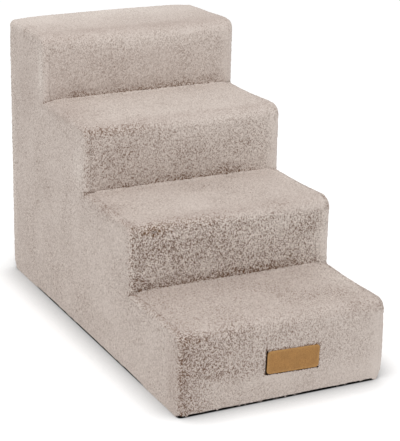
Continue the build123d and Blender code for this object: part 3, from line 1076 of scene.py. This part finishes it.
def base_outline(sizes, spacing):
    """Rounded outline of the base, which shows a little below the pile."""
    low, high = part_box("base_panel")
    show, corner = sizes.base_show, sizes.base_corner
    ends = (low.x - show, low.y - sizes.front_show), (high.x + show, high.y + show)
    return closed_outline(rounded_box(*ends, [sizes.sharp_corner, corner, corner, corner]), spacing)


def make_base(sizes, cloth, dots, tape):
    """Non-slip fabric with its grip dots, and the tape in the seam above it."""
    node = "base_panel"
    low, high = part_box(node)
    foot, soft = low.z + sizes.dot_height, FABRIC_EDGE
    stations = [(foot, soft), (foot + soft, 0.0), (high.z - soft, 0.0), (high.z, soft)]
    panel = sweep_closed("base_fabric", base_outline(sizes, FABRIC_MESH), stations, upwards)
    place(panel, node, cloth)
    columns, rows = (
        even(low[axis] + sizes.dot_margin, high[axis] - sizes.dot_margin, sizes.dot_pitch) for axis in (0, 1)
    )
    middles = np.array([(x, y, low.z) for y in rows for x in columns])
    dot = [
        (*point, height * sizes.dot_height) for reach, height in DOT_RINGS
        for point in arc((0, 0), sizes.dot_radius * reach, 0, 2 * math.pi, DOT_SIDES + 1)[:-1]
    ]
    points = (middles[:, None] + dot).reshape(-1, 3)
    index = np.arange(len(points)).reshape(len(middles), len(DOT_RINGS), DOT_SIDES)
    grips = new_solid("base_grip_dots", points, [face for rings in index for face in tube_faces(rings)])
    place(grips, node, dots)
    node = "base_seam_tape"
    low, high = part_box(node)
    around, across = BINDING_MESH
    places, normals = base_outline(sizes, around)
    height = high.z - low.z
    profile = rounded_box((-sizes.seam_tape, low.z), (0.0, high.z), [height * 0.3, height * 0.45] * 2)
    profile = closed_outline(profile, across)[0]
    grid = np.stack([upwards(places + normals * reach, z) for reach, z in profile], 1)
    index = np.arange(grid[..., 0].size).reshape(grid.shape[:2])
    faces = grid_faces(index, ring=True, closed=True).reshape(-1, 4).tolist()
    place(new_solid("base_seam_binding", grid.reshape(-1, 3), faces), node, tape)


def make_label(sizes, material):
    """Plain tan label, pressed into the pile of the lowest riser."""
    low, high = LABEL
    middle = label_middle(sizes)
    bevel, corner = sizes.label_bevel, sizes.label_corner
    rim = bevel * (1 - np.sin(np.linspace(QUARTER, 0, 5)))
    halves = half_w, half_h = sizes.label_width / 2, sizes.label_height / 2
    across, up = np.meshgrid(*(
        np.r_[-half + rim, even(-half + bevel, half - bevel, MM)[1:-1], half - rim[::-1]] for half in halves
    ))
    depth = np.minimum(half_w - np.abs(across), half_h - np.abs(up))
    a, b = np.abs(across) - (half_w - corner), np.abs(up) - (half_h - corner)
    inside = (a > 0) & (b > 0)
    round_a, round_b = disc_corner(a[inside], b[inside])
    across[inside] = np.sign(across[inside]) * (half_w - corner + round_a)
    up[inside] = np.sign(up[inside]) * (half_h - corner + round_b)
    steep = 1 - np.clip(depth, 0, bevel) / bevel
    proud = (high.y - low.y) - bevel + bevel * bulge(steep)
    deepest, from_edge, reach = PRESSED_LINE
    pressed = deepest * np.exp(-((depth - from_edge) / reach) ** 2)
    cosine, sine = math.cos(sizes.label_tilt), math.sin(sizes.label_tilt)
    x = middle[0] + across * cosine + up * sine
    z = middle[2] + up * cosine - across * sine
    flat = np.stack([x, np.zeros_like(x), z], -1).reshape(-1, 3)
    wave = (drift(flat, *LABEL_WAVES) - 0.5).reshape(x.shape) * sizes.label_wave
    back = high.y - sizes.label_proud
    y = back - proud + pressed + wave * smooth(0, WAVES_FROM, depth)
    front_face = np.stack([x, y, z], -1).reshape(-1, 3)
    index = np.arange(x.size).reshape(x.shape)
    edge = np.r_[index[0, :-1], index[:-1, -1], index[-1, :0:-1], index[:0:-1, 0]]
    behind = front_face[edge]
    behind[:, 1] = back
    far = x.size + np.arange(len(edge))
    walls = grid_faces(np.stack([edge, far]), ring=True)[0]
    faces = [*grid_faces(index).reshape(-1, 4).tolist(), *walls.tolist(), far.tolist()]
    piece = new_solid("label_leather", np.concatenate([front_face, behind]), faces)
    add_attributes(piece, label_rim=np.r_[np.exp(-(depth.ravel() / RIM_HIGHLIGHT_REACH) ** 2), np.ones(len(edge))])
    place(piece, "label_patch", material)


def band_outline(low, high, rounding):
    """Outline of a flat band, whose corners are rounded by a share of half its thickness."""
    radius = (high.y - low.y) / 2 * rounding
    return closed_outline(rounded_box(low, high, [radius] * 4), BAND_MESH[0])


def make_tapes(material):
    """Zip tapes, and the tab that holds their lower ends."""
    for side in SIDES:
        node = f"zip_tape_{side}"
        low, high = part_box(node)
        stations = [(z, 0.0) for z in even(low.z, high.z, BAND_MESH[1])]
        tape = sweep_closed(node + "_weave", band_outline(low, high, 0.9), stations, upwards)
        place(tape, node, material)
    node = "zip_end_tab"
    low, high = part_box(node)
    stations = soft_stations(low.z, high.z, (high.y - low.y) / 2 * 0.8, MM)
    tab = sweep_closed(node + "_fold", band_outline(low, high, 0.7), stations, upwards, TAB_UNEVENNESS)
    place(tab, node, material)


def make_coils(sizes, material):
    """Zip coils: one long nylon wire wound flat along each tape."""
    wire, inner = sizes.coil_wire, sizes.coil_gap / 2
    for side in SIDES:
        node = f"zip_coil_{side}"
        low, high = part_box(node)
        outer = max(abs(low.x), abs(high.x))
        turns = round((high.z - low.z - 2 * wire) / sizes.coil_pitch)
        turn = np.linspace(0, 2 * math.pi * turns, turns * COIL_TURN + 1)
        across = (inner + outer) / 2 + (outer - inner - 2 * wire) / 2 * np.cos(turn)
        depth = (low.y + high.y) / 2 + (high.y - low.y - 2 * wire) / 2 * np.sin(turn)
        rise = np.linspace(low.z + wire, high.z - wire, len(turn))
        line = np.stack([across if side == "right" else -across, depth, rise], 1)
        run = unit(np.gradient(line, axis=0))
        first = unit(np.cross(run, [0, 0, 1]))
        second = np.cross(first, run)
        circle = arc((0, 0), wire, 0, 2 * math.pi, WIRE_SIDES + 1)[:-1]
        coil = tube(node + "_wire", np.stack([line + first * a + second * b for a, b in circle], 1))
        place(coil, node, material)


def dress_metal(sizes, material):
    """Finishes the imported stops, slider and pull, with their edges broken as after tumbling."""
    for name in ("zip_stops", "zip_slider", "zip_pull"):
        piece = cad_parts[name]
        piece.data.materials.clear()
        piece.data.materials.append(material)
        joined = piece.modifiers.new("Joined edges", "WELD")
        joined.merge_threshold = JOINED
        broken = piece.modifiers.new("Broken edges", "BEVEL")
        broken.width = sizes.metal_edge
        broken.segments = 2
        broken.limit_method = "ANGLE"
        broken.angle_limit = SHARP


# Materials

# Settings of the nodes. A node that mixes colours has them in sockets 6 and 7, and its result in output 2
COLOUR = {"data_type": "RGBA", "out": 2}
TIMES = {"operation": "MULTIPLY"}
TIMES_AND_PLUS = {"operation": "MULTIPLY_ADD"}
LARGER = {"operation": "MAXIMUM"}
WHITE = (1, 1, 1, 1)
BLACK = (0, 0, 0, 1)

# Metres over which a wave texture of scale 1 repeats
WAVE_REPEAT = 1 / 3.14

PLUSH_NAME = "Brushed polyester plush"


def add(tree, kind, sockets, out=0, **settings):
    """Adds a node with its settings, and the values or links of its sockets. Returns one output."""
    made = tree.nodes.new("ShaderNode" + kind)
    for key, value in settings.items():
        setattr(made, key, value)
    for key, value in sockets.items():
        if isinstance(value, bpy.types.NodeSocket):
            tree.links.new(value, made.inputs[key])
        else:
            made.inputs[key].default_value = value
    return made.outputs[out] if made.outputs else None


def begin(name):
    """New material, the function that adds its nodes, and its object coordinates in metres."""
    made = bpy.data.materials.new(name)
    made.use_nodes = True
    made.node_tree.nodes.clear()
    node = functools.partial(add, made.node_tree)
    return made, node, node("TexCoord", {}, "Object")


def tinted(tint, *shares):
    """A colour times one share, or times one each for red, green and blue, up to white."""
    return [*(min(1.0, part * share) for part, share in zip(tint[:3], shares * 3)), 1.0]


def plush_material(colours):
    """Brushed polyester plush: matt, with soft light edges, painted highlights, painted light and shade on
    its faces and creases, and brown gaps, partly painted shade, where the tufts part.
    """
    made, node, at = begin(PLUSH_NAME)
    gap, rough, shade, painted_light = (
        node("Attribute", {}, "Fac", attribute_name="pile_" + mark)
        for mark in ("gap", "rough", "shade", "painted_nap_light")
    )
    # Single hairs are 0.05 mm, too fine to show, so they are drawn 0.7 mm apart
    hairs, clumps, painted_nap_light = (
        node("TexNoise", {"Vector": at, "Scale": 1 / (apart * MM), "Detail": 2, "Roughness": detail})
        for apart, detail in ((0.7, 0.6), (2.2, 0.6), (38, 0.5))
    )
    # Curls of a few hairs and locks of a few curls, longer down the pile than across it
    long_way = node("Mapping", {"Vector": at, "Scale": (1.2, 1.2, 0.75)})
    curls, locks = (
        node("TexVoronoi", {"Vector": long_way, "Scale": 1 / (apart * MM)}) for apart in (1.5, 2.4)
    )
    chance, lock_chance = (
        node("SeparateColor", {"Color": cells.node.outputs["Color"]}).node.outputs for cells in (curls, locks)
    )
    tone = node("Math", {0: clumps, 1: 0.5, 2: chance[2]}, **TIMES_AND_PLUS)
    tone = node("MapRange", {"Value": tone, "From Min": 0.2, "From Max": 1.2})
    tips = node("Mix", {0: tone, 6: colours.pile_low_and_shade, 7: colours.pile}, **COLOUR)
    # Painted highlights as pale flecks where a curl catches the light, slow swirls of painted shade, and
    # painted light and shade, paler on some faces and spots and darker on others
    pale = node("MapRange", {"Value": chance[1], "From Min": 0.6, "From Max": 0.95, "To Max": 0.6})
    flecks = node("Math", {0: pale, 1: rough}, **TIMES)
    swirl = node("MapRange", {"Value": painted_nap_light, "From Min": 0.38, "From Max": 0.66, "To Max": 0.35})
    painted_shade = node("Math", {0: painted_light, 1: -1.0}, **TIMES)
    for light, dark in ((flecks, swirl), (painted_light, painted_shade)):
        tips = node("Mix", {0: light, 6: tips, 7: colours.pile_tips_and_highlight}, **COLOUR)
        tips = node("Mix", {0: dark, 6: tips, 7: colours.pile_low_and_shade}, **COLOUR)
    # Dark gaps between the curls, and curls and locks that have parted down to the backing: partly the roots'
    # darker colour, partly painted shade in the gaps
    between = node("MapRange", {"Value": curls, "From Min": 0.45, "From Max": 0.7})
    parted = node("MapRange", {"Value": chance[0], "From Min": 0.34, "From Max": 0.2})
    wide = node("MapRange", {"Value": lock_chance[0], "From Min": 0.27, "From Max": 0.09, "To Max": 0.5})
    open_part = node("MapRange", {
        "Value": clumps, "From Min": 0.34, "From Max": 0.54, "To Min": 0.45, "To Max": 0.85
    })
    deep = node("Math", {0: parted, 1: wide}, **LARGER)
    deep = node("Math", {0: between, 1: 0.8, 2: deep}, **TIMES_AND_PLUS)
    deep = node("Math", {0: deep, 1: open_part}, **TIMES)
    deep = node("Math", {0: gap, 1: 0.35, 2: deep}, **TIMES_AND_PLUS)
    amount = node("Math", {0: shade, 1: 0.55, 2: rough}, **TIMES_AND_PLUS)
    deep = node("Math", {0: deep, 1: amount}, **TIMES, use_clamp=True)
    deep = node("Math", {0: deep, 1: 0.95}, **TIMES)
    # A solid shadow beside the label
    solid = node("MapRange", {"Value": shade, "From Min": 1.8, "From Max": 2.6})
    deep = node("Math", {0: deep, 1: solid}, **LARGER)
    # Painted shade over the creases and ruffled places turns browner, towards the backing's colour
    warmth = node("MapRange", {"Value": shade, "From Min": 0.1, "From Max": 1.1})
    root_and_shade = node("Mix", {0: warmth, 6: colours.pile_root_and_gap_shade, 7: colours.pile_backing_and_crease_shade}, **COLOUR)
    root_and_shade = node("Mix", {0: solid, 6: root_and_shade, 7: colours.label_shadow}, **COLOUR)
    node("OutputMaterial", {"Surface": node("BsdfPrincipled", {
        "Base Color": node("Mix", {0: deep, 6: tips, 7: root_and_shade}, **COLOUR),
        "Roughness": 0.95,
        "Specular IOR Level": 0.06,
        "Sheen Roughness": 0.4,
        "Sheen Tint": colours.pile,
        # Only the tips catch the light at a low angle, not the roots
        "Sheen Weight": node("MapRange", {"Value": deep, "From Max": 0.8, "To Min": 0.32, "To Max": 0.0}),
        "Normal": node("Bump", {"Height": hairs, "Strength": 0.5, "Distance": 0.5 * MM}),
    })})
    return made


def foam_material(name, tint):
    """Cut polyurethane foam: matt, with open pores of about a millimetre."""
    made, node, at = begin(name)
    pores = node("TexVoronoi", {"Vector": at, "Scale": 1 / (1.3 * MM)})
    slow = node("TexNoise", {"Vector": at, "Scale": 1 / (60 * MM), "Detail": 3})
    # The pores are painted darker, as painted shade in them
    hollow = node("MapRange", {"Value": pores, "From Min": 0.15, "From Max": 0.6})
    skin = node("Mix", {0: slow, 6: tint, 7: tinted(tint, 1.0, 0.96, 0.86)}, **COLOUR)
    node("OutputMaterial", {"Surface": node("BsdfPrincipled", {
        "Base Color": node("Mix", {0: hollow, 6: skin, 7: tinted(tint, 0.72)}, **COLOUR),
        "Roughness": 0.9,
        "Specular IOR Level": 0.2,
        "Subsurface Weight": 0.05,
        "Normal": node("Bump", {"Height": pores, "Strength": 0.6, "Distance": 0.5 * MM}),
    })})
    return made


def woven_material(name, tint, thread, shine=0.3):
    """Woven polyester: two sets of threads that cross, each rib catching a little light."""
    made, node, at = begin(name)
    turned = node("Mapping", {"Vector": at, "Rotation": (QUARTER / 2, QUARTER / 2, 0)})
    wave = {"Scale": WAVE_REPEAT / (2 * thread), "Distortion": 0.6, "Detail": 1}
    first, second = (
        node("TexWave", {"Vector": vector, **wave}, "Fac", bands_direction=direction)
        for vector, direction in ((at, "Z"), (turned, "DIAGONAL"))
    )
    ribs = node("Math", {0: first, 1: second}, **TIMES)
    slow = node("TexNoise", {"Vector": at, "Scale": 1 / (9 * MM), "Detail": 3})
    worn = node("Mix", {0: slow, 6: tint, 7: tinted(tint, 1.25)}, **COLOUR)
    node("OutputMaterial", {"Surface": node("BsdfPrincipled", {
        "Base Color": node("Mix", {0: ribs, 6: tinted(tint, 0.6), 7: worn}, **COLOUR),
        "Roughness": 0.8,
        "Specular IOR Level": shine,
        "Sheen Weight": shine / 3,
        "Normal": node("Bump", {"Height": ribs, "Strength": 0.5, "Distance": thread / 3}),
    })})
    return made


def rubber_material(tint):
    """Moulded PVC dots: smooth, slightly glossy, dusty in places."""
    made, node, at = begin("Moulded PVC dots")
    dust = node("TexNoise", {"Vector": at, "Scale": 1 / (20 * MM), "Detail": 4})
    dusty = [*(part + 0.02 for part in tint[:3]), 1.0]
    node("OutputMaterial", {"Surface": node("BsdfPrincipled", {
        "Base Color": node("Mix", {0: dust, 6: tint, 7: dusty}, **COLOUR),
        "Roughness": node("MapRange", {"Value": dust, "To Min": 0.4, "To Max": 0.65}),
        "IOR": 1.52,
    })})
    return made


def leather_material(tint):
    """Embossed polyurethane leather: a fine pebble grain, satin on the pebbles and darker between."""
    made, node, at = begin("Embossed polyurethane leather")
    # The grain is 0.6 mm, and is drawn at 1.4 mm so that it shows
    grain = node(
        "TexVoronoi", {"Vector": at, "Scale": 1 / (1.4 * MM), "Randomness": 0.9}, feature="SMOOTH_F1"
    )
    fine = node("TexNoise", {"Vector": at, "Scale": 1 / (0.5 * MM), "Detail": 2})
    slow = node("TexNoise", {"Vector": at, "Scale": 1 / (14 * MM), "Detail": 3})
    tone = node("MapRange", {"Value": slow, "From Min": 0.3, "From Max": 0.7})
    skin = node("Mix", {0: tone, 6: tint, 7: tinted(tint, 1.22)}, **COLOUR)
    # The rim is painted paler, as a painted highlight along the edge
    rim = node("Attribute", {}, "Fac", attribute_name="label_rim")
    rim = node("Math", {0: rim, 1: 0.9}, **TIMES)
    skin = node("Mix", {0: rim, 6: skin, 7: tinted(tint, 1.4, 1.5, 1.75)}, **COLOUR)
    between = node("MapRange", {"Value": grain, "From Min": 0.25, "From Max": 0.7})
    between = node("Math", {0: between, 1: 0.55}, **TIMES)
    node("OutputMaterial", {"Surface": node("BsdfPrincipled", {
        "Base Color": node("Mix", {0: between, 6: skin, 7: tinted(tint, 0.62, 0.55, 0.48)}, **COLOUR),
        "Roughness": node("MapRange", {"Value": fine, "To Min": 0.5, "To Max": 0.7}),
        "IOR": 1.5,
        "Specular IOR Level": 0.4,
        "Normal": node("Bump", {"Height": grain, "Strength": 0.45, "Distance": 0.25 * MM}, invert=True),
    })})
    return made


def nylon_material(tint):
    """Drawn nylon wire: smooth and slightly see-through at its edges, so it looks milky."""
    made, node, at = begin("Drawn nylon wire")
    slow = node("TexNoise", {"Vector": at, "Scale": 1 / (3 * MM), "Detail": 2})
    node("OutputMaterial", {"Surface": node("BsdfPrincipled", {
        "Base Color": node("Mix", {0: slow, 6: tint, 7: tinted(tint, 1.2)}, **COLOUR),
        "Roughness": 0.38,
        "IOR": 1.53,
        "Subsurface Weight": 0.1,
    })})
    return made


def zinc_material(tint):
    """Die-cast zinc, tumbled and nickel plated: bright, with fine scuffs from the tumbling."""
    made, node, at = begin("Nickel plated zinc")
    scuffs = node("TexNoise", {"Vector": at, "Scale": 1 / (0.4 * MM), "Detail": 4, "Roughness": 0.7})
    slow = node("TexNoise", {"Vector": at, "Scale": 1 / (4 * MM), "Detail": 2})
    node("OutputMaterial", {"Surface": node("BsdfPrincipled", {
        "Base Color": node("Mix", {0: slow, 6: tint, 7: tinted(tint, 0.8)}, **COLOUR),
        "Roughness": node("MapRange", {"Value": scuffs, "To Min": 0.22, "To Max": 0.42}),
        "Metallic": 1.0,
        "Normal": node("Bump", {"Height": scuffs, "Strength": 0.2, "Distance": 0.05 * MM}),
    })})
    return made


# Stage


def white_to_eye(node, plain, white):
    """Shows the white shader to the camera, to gloss and through glass, and lights with the plain one."""
    path = node("LightPath", {}).node.outputs
    seen = node("Math", {0: path["Is Camera Ray"], 1: path["Is Glossy Ray"]}, **LARGER)
    seen = node("Math", {0: seen, 1: path["Is Transmission Ray"]}, **LARGER)
    return node("MixShader", {0: seen, 1: plain, 2: white})


def make_world(stage):
    """Even light from all round, behind a white backdrop."""
    world = bpy.data.worlds.new("Studio")
    world.use_nodes = True
    world.node_tree.nodes.clear()
    node = functools.partial(add, world.node_tree)
    plain, white = (node("Background", {"Color": WHITE, "Strength": power}) for power in (stage.ambient, 1.0))
    node("OutputWorld", {"Surface": white_to_eye(node, plain, white)})
    bpy.context.scene.world = world


def make_floor(stage):
    """Pale floor that fades to white for the eye, keeps the shadow of the stairs and has a contact shadow
    painted in near them.
    """
    reach = stage.floor_reach
    corners = [(-reach, -reach, 0), (reach, -reach, 0), (reach, reach, 0), (-reach, reach, 0)]
    floor = new_mesh("floor", corners, [(0, 1, 2, 3)])
    material, node, _ = begin("Pale studio floor")
    plain = node("BsdfDiffuse", {"Color": stage.floor})
    # A contact shadow is painted into the floor's colour and glow where the stairs close off the sky
    open_sky = node("AmbientOcclusion", {"Distance": stage.shadow_reach}, "AO", samples=8)
    kept = node("MapRange", {
        "Value": open_sky, "From Min": 0.45, "From Max": 0.97, "To Min": stage.shadow_depth
    })
    seen = node("BsdfDiffuse", {"Color": node("Mix", {0: kept, 6: BLACK, 7: stage.floor}, **COLOUR)})
    strength = node("Math", {0: kept, 1: stage.floor_glow}, **TIMES)
    painted_shade = node("AddShader", {0: seen, 1: node("Emission", {"Color": WHITE, "Strength": strength})})
    node("OutputMaterial", {"Surface": white_to_eye(node, plain, painted_shade)})
    floor.data.materials.append(material)


def make_lamp(stage):
    """Wide softbox above the stairs, a little to the front and left."""
    toward = Vector(stage.key_place).normalized()
    data = bpy.data.lights.new("key_lamp", "AREA")
    data.shape = "DISK"
    data.size = stage.key_size
    data.energy = stage.key
    lamp = bpy.data.objects.new("key_lamp", data)
    lamp.location = MIDDLE + toward * stage.key_distance
    lamp.rotation_euler = toward.to_track_quat("Z", "Y").to_euler()
    bpy.context.scene.collection.objects.link(lamp)


def make_camera(stage):
    """Camera where the picture was taken from."""
    turn = Matrix.Rotation(stage.azimuth, 3, "Z") @ Matrix.Rotation(QUARTER - stage.elevation, 3, "X")
    turn = turn @ Matrix.Rotation(stage.roll, 3, "Z")
    data = bpy.data.cameras.new("camera")
    data.sensor_width = SENSOR
    data.lens = stage.focal * SENSOR / PICTURE_HEIGHT
    camera = bpy.data.objects.new("camera", data)
    camera.location = MIDDLE + turn @ Vector((stage.right, -stage.down, stage.distance))
    camera.rotation_mode = "QUATERNION"
    camera.rotation_quaternion = turn.to_quaternion()
    bpy.context.scene.collection.objects.link(camera)
    bpy.context.scene.camera = camera


# Operators


def plush(scene):
    """The plush material, made once."""
    return bpy.data.materials.get(PLUSH_NAME) or plush_material(scene.stairs_colours)


class StairsSteps(bpy.types.Operator):
    """Make the plush over the four steps"""

    bl_idname = "stairs.steps"
    bl_label = "Plush Steps"

    def execute(self, context):
        make_steps(context.scene.stairs_cover, plush(context.scene))
        return {"FINISHED"}


class StairsSides(bpy.types.Operator):
    """Make the two stair-shaped sides of the cover"""

    bl_idname = "stairs.sides"
    bl_label = "Plush Sides"

    def execute(self, context):
        for side in SIDES:
            make_side(side, context.scene.stairs_cover, plush(context.scene))
        return {"FINISHED"}


class StairsBack(bpy.types.Operator):
    """Make the back of the cover, in a band and two halves"""

    bl_idname = "stairs.back"
    bl_label = "Plush Back"

    def execute(self, context):
        make_back(context.scene.stairs_cover, plush(context.scene))
        return {"FINISHED"}


class StairsFoam(bpy.types.Operator):
    """Make the slabs and layers of the foam core"""

    bl_idname = "stairs.foam"
    bl_label = "Foam Core"

    def execute(self, context):
        colours = context.scene.stairs_colours
        firm = foam_material("Firm cut foam", colours.foam)
        soft = foam_material("Soft cut foam", colours.comfort_foam)
        make_foam(context.scene.stairs_cover, firm, soft)
        return {"FINISHED"}


class StairsBase(bpy.types.Operator):
    """Make the non-slip base and its seam tape"""

    bl_idname = "stairs.base"
    bl_label = "Base"

    def execute(self, context):
        tint = context.scene.stairs_colours.base
        cloth = woven_material("Woven base fabric", tint, 0.9 * MM, 0.1)
        tape = woven_material("Twill seam tape", tint, 0.6 * MM, 0.1)
        make_base(context.scene.stairs_trim, cloth, rubber_material(tint), tape)
        return {"FINISHED"}


class StairsLabel(bpy.types.Operator):
    """Make the plain label on the lowest riser"""

    bl_idname = "stairs.label"
    bl_label = "Label"

    def execute(self, context):
        make_label(context.scene.stairs_trim, leather_material(context.scene.stairs_colours.label))
        return {"FINISHED"}


class StairsTapes(bpy.types.Operator):
    """Make the zip's tapes and end tab"""

    bl_idname = "stairs.tapes"
    bl_label = "Zip Tapes"

    def execute(self, context):
        make_tapes(woven_material("Woven zip tape", context.scene.stairs_colours.zip_tape, 0.5 * MM))
        return {"FINISHED"}


class StairsCoils(bpy.types.Operator):
    """Make the zip's two nylon coils"""

    bl_idname = "stairs.coils"
    bl_label = "Zip Coils"

    def execute(self, context):
        make_coils(context.scene.stairs_trim, nylon_material(context.scene.stairs_colours.zip_coil))
        return {"FINISHED"}


class StairsMetal(bpy.types.Operator):
    """Finish the zip's stops, slider and pull"""

    bl_idname = "stairs.metal"
    bl_label = "Zip Metal"

    def execute(self, context):
        dress_metal(context.scene.stairs_trim, zinc_material(context.scene.stairs_colours.zip_metal))
        return {"FINISHED"}


class StairsStudio(bpy.types.Operator):
    """Make the floor, the lamp and the camera"""

    bl_idname = "stairs.studio"
    bl_label = "Studio"

    def execute(self, context):
        stage = context.scene.stairs_stage
        context.scene.view_settings.view_transform = "Standard"
        make_world(stage)
        make_floor(stage)
        make_lamp(stage)
        make_camera(stage)
        return {"FINISHED"}


class StairsPanel(bpy.types.Panel):
    """Lists the pieces of the pet stairs"""

    bl_idname = "VIEW3D_PT_stairs"
    bl_label = "Pet Stairs"
    bl_space_type = "VIEW_3D"
    bl_region_type = "UI"
    bl_category = "Pet Stairs"

    def draw(self, context):
        for group in GROUPS:
            settings = getattr(context.scene, group)
            box = self.layout.box()
            for key in settings.bl_rna.properties.keys():
                if key not in ("rna_type", "name"):
                    box.prop(settings, key)
        for operator in OPERATORS:
            self.layout.operator(operator.bl_idname)


GROUPS = {
    "stairs_cover": StairsCoverSizes,
    "stairs_trim": StairsTrimSizes,
    "stairs_colours": StairsColours,
    "stairs_stage": StairsStage,
}
OPERATORS = [
    StairsFoam, StairsBase, StairsSteps, StairsSides, StairsBack, StairsLabel,
    StairsTapes, StairsCoils, StairsMetal, StairsStudio,
]


def register():
    """Adds the classes, and their settings to the scene."""
    for made in [*GROUPS.values(), *OPERATORS, StairsPanel]:
        bpy.utils.register_class(made)
    for name, group in GROUPS.items():
        setattr(bpy.types.Scene, name, bpy.props.PointerProperty(type=group))


def unregister():
    """Takes the classes and settings away again."""
    for name in GROUPS:
        delattr(bpy.types.Scene, name)
    for made in reversed([*GROUPS.values(), *OPERATORS, StairsPanel]):
        bpy.utils.unregister_class(made)


def main():
    """Makes every piece and the stage."""
    register()
    for operator in OPERATORS:
        group, name = operator.bl_idname.split(".")
        getattr(getattr(bpy.ops, group), name)()


if __name__ == "__main__":
    main()
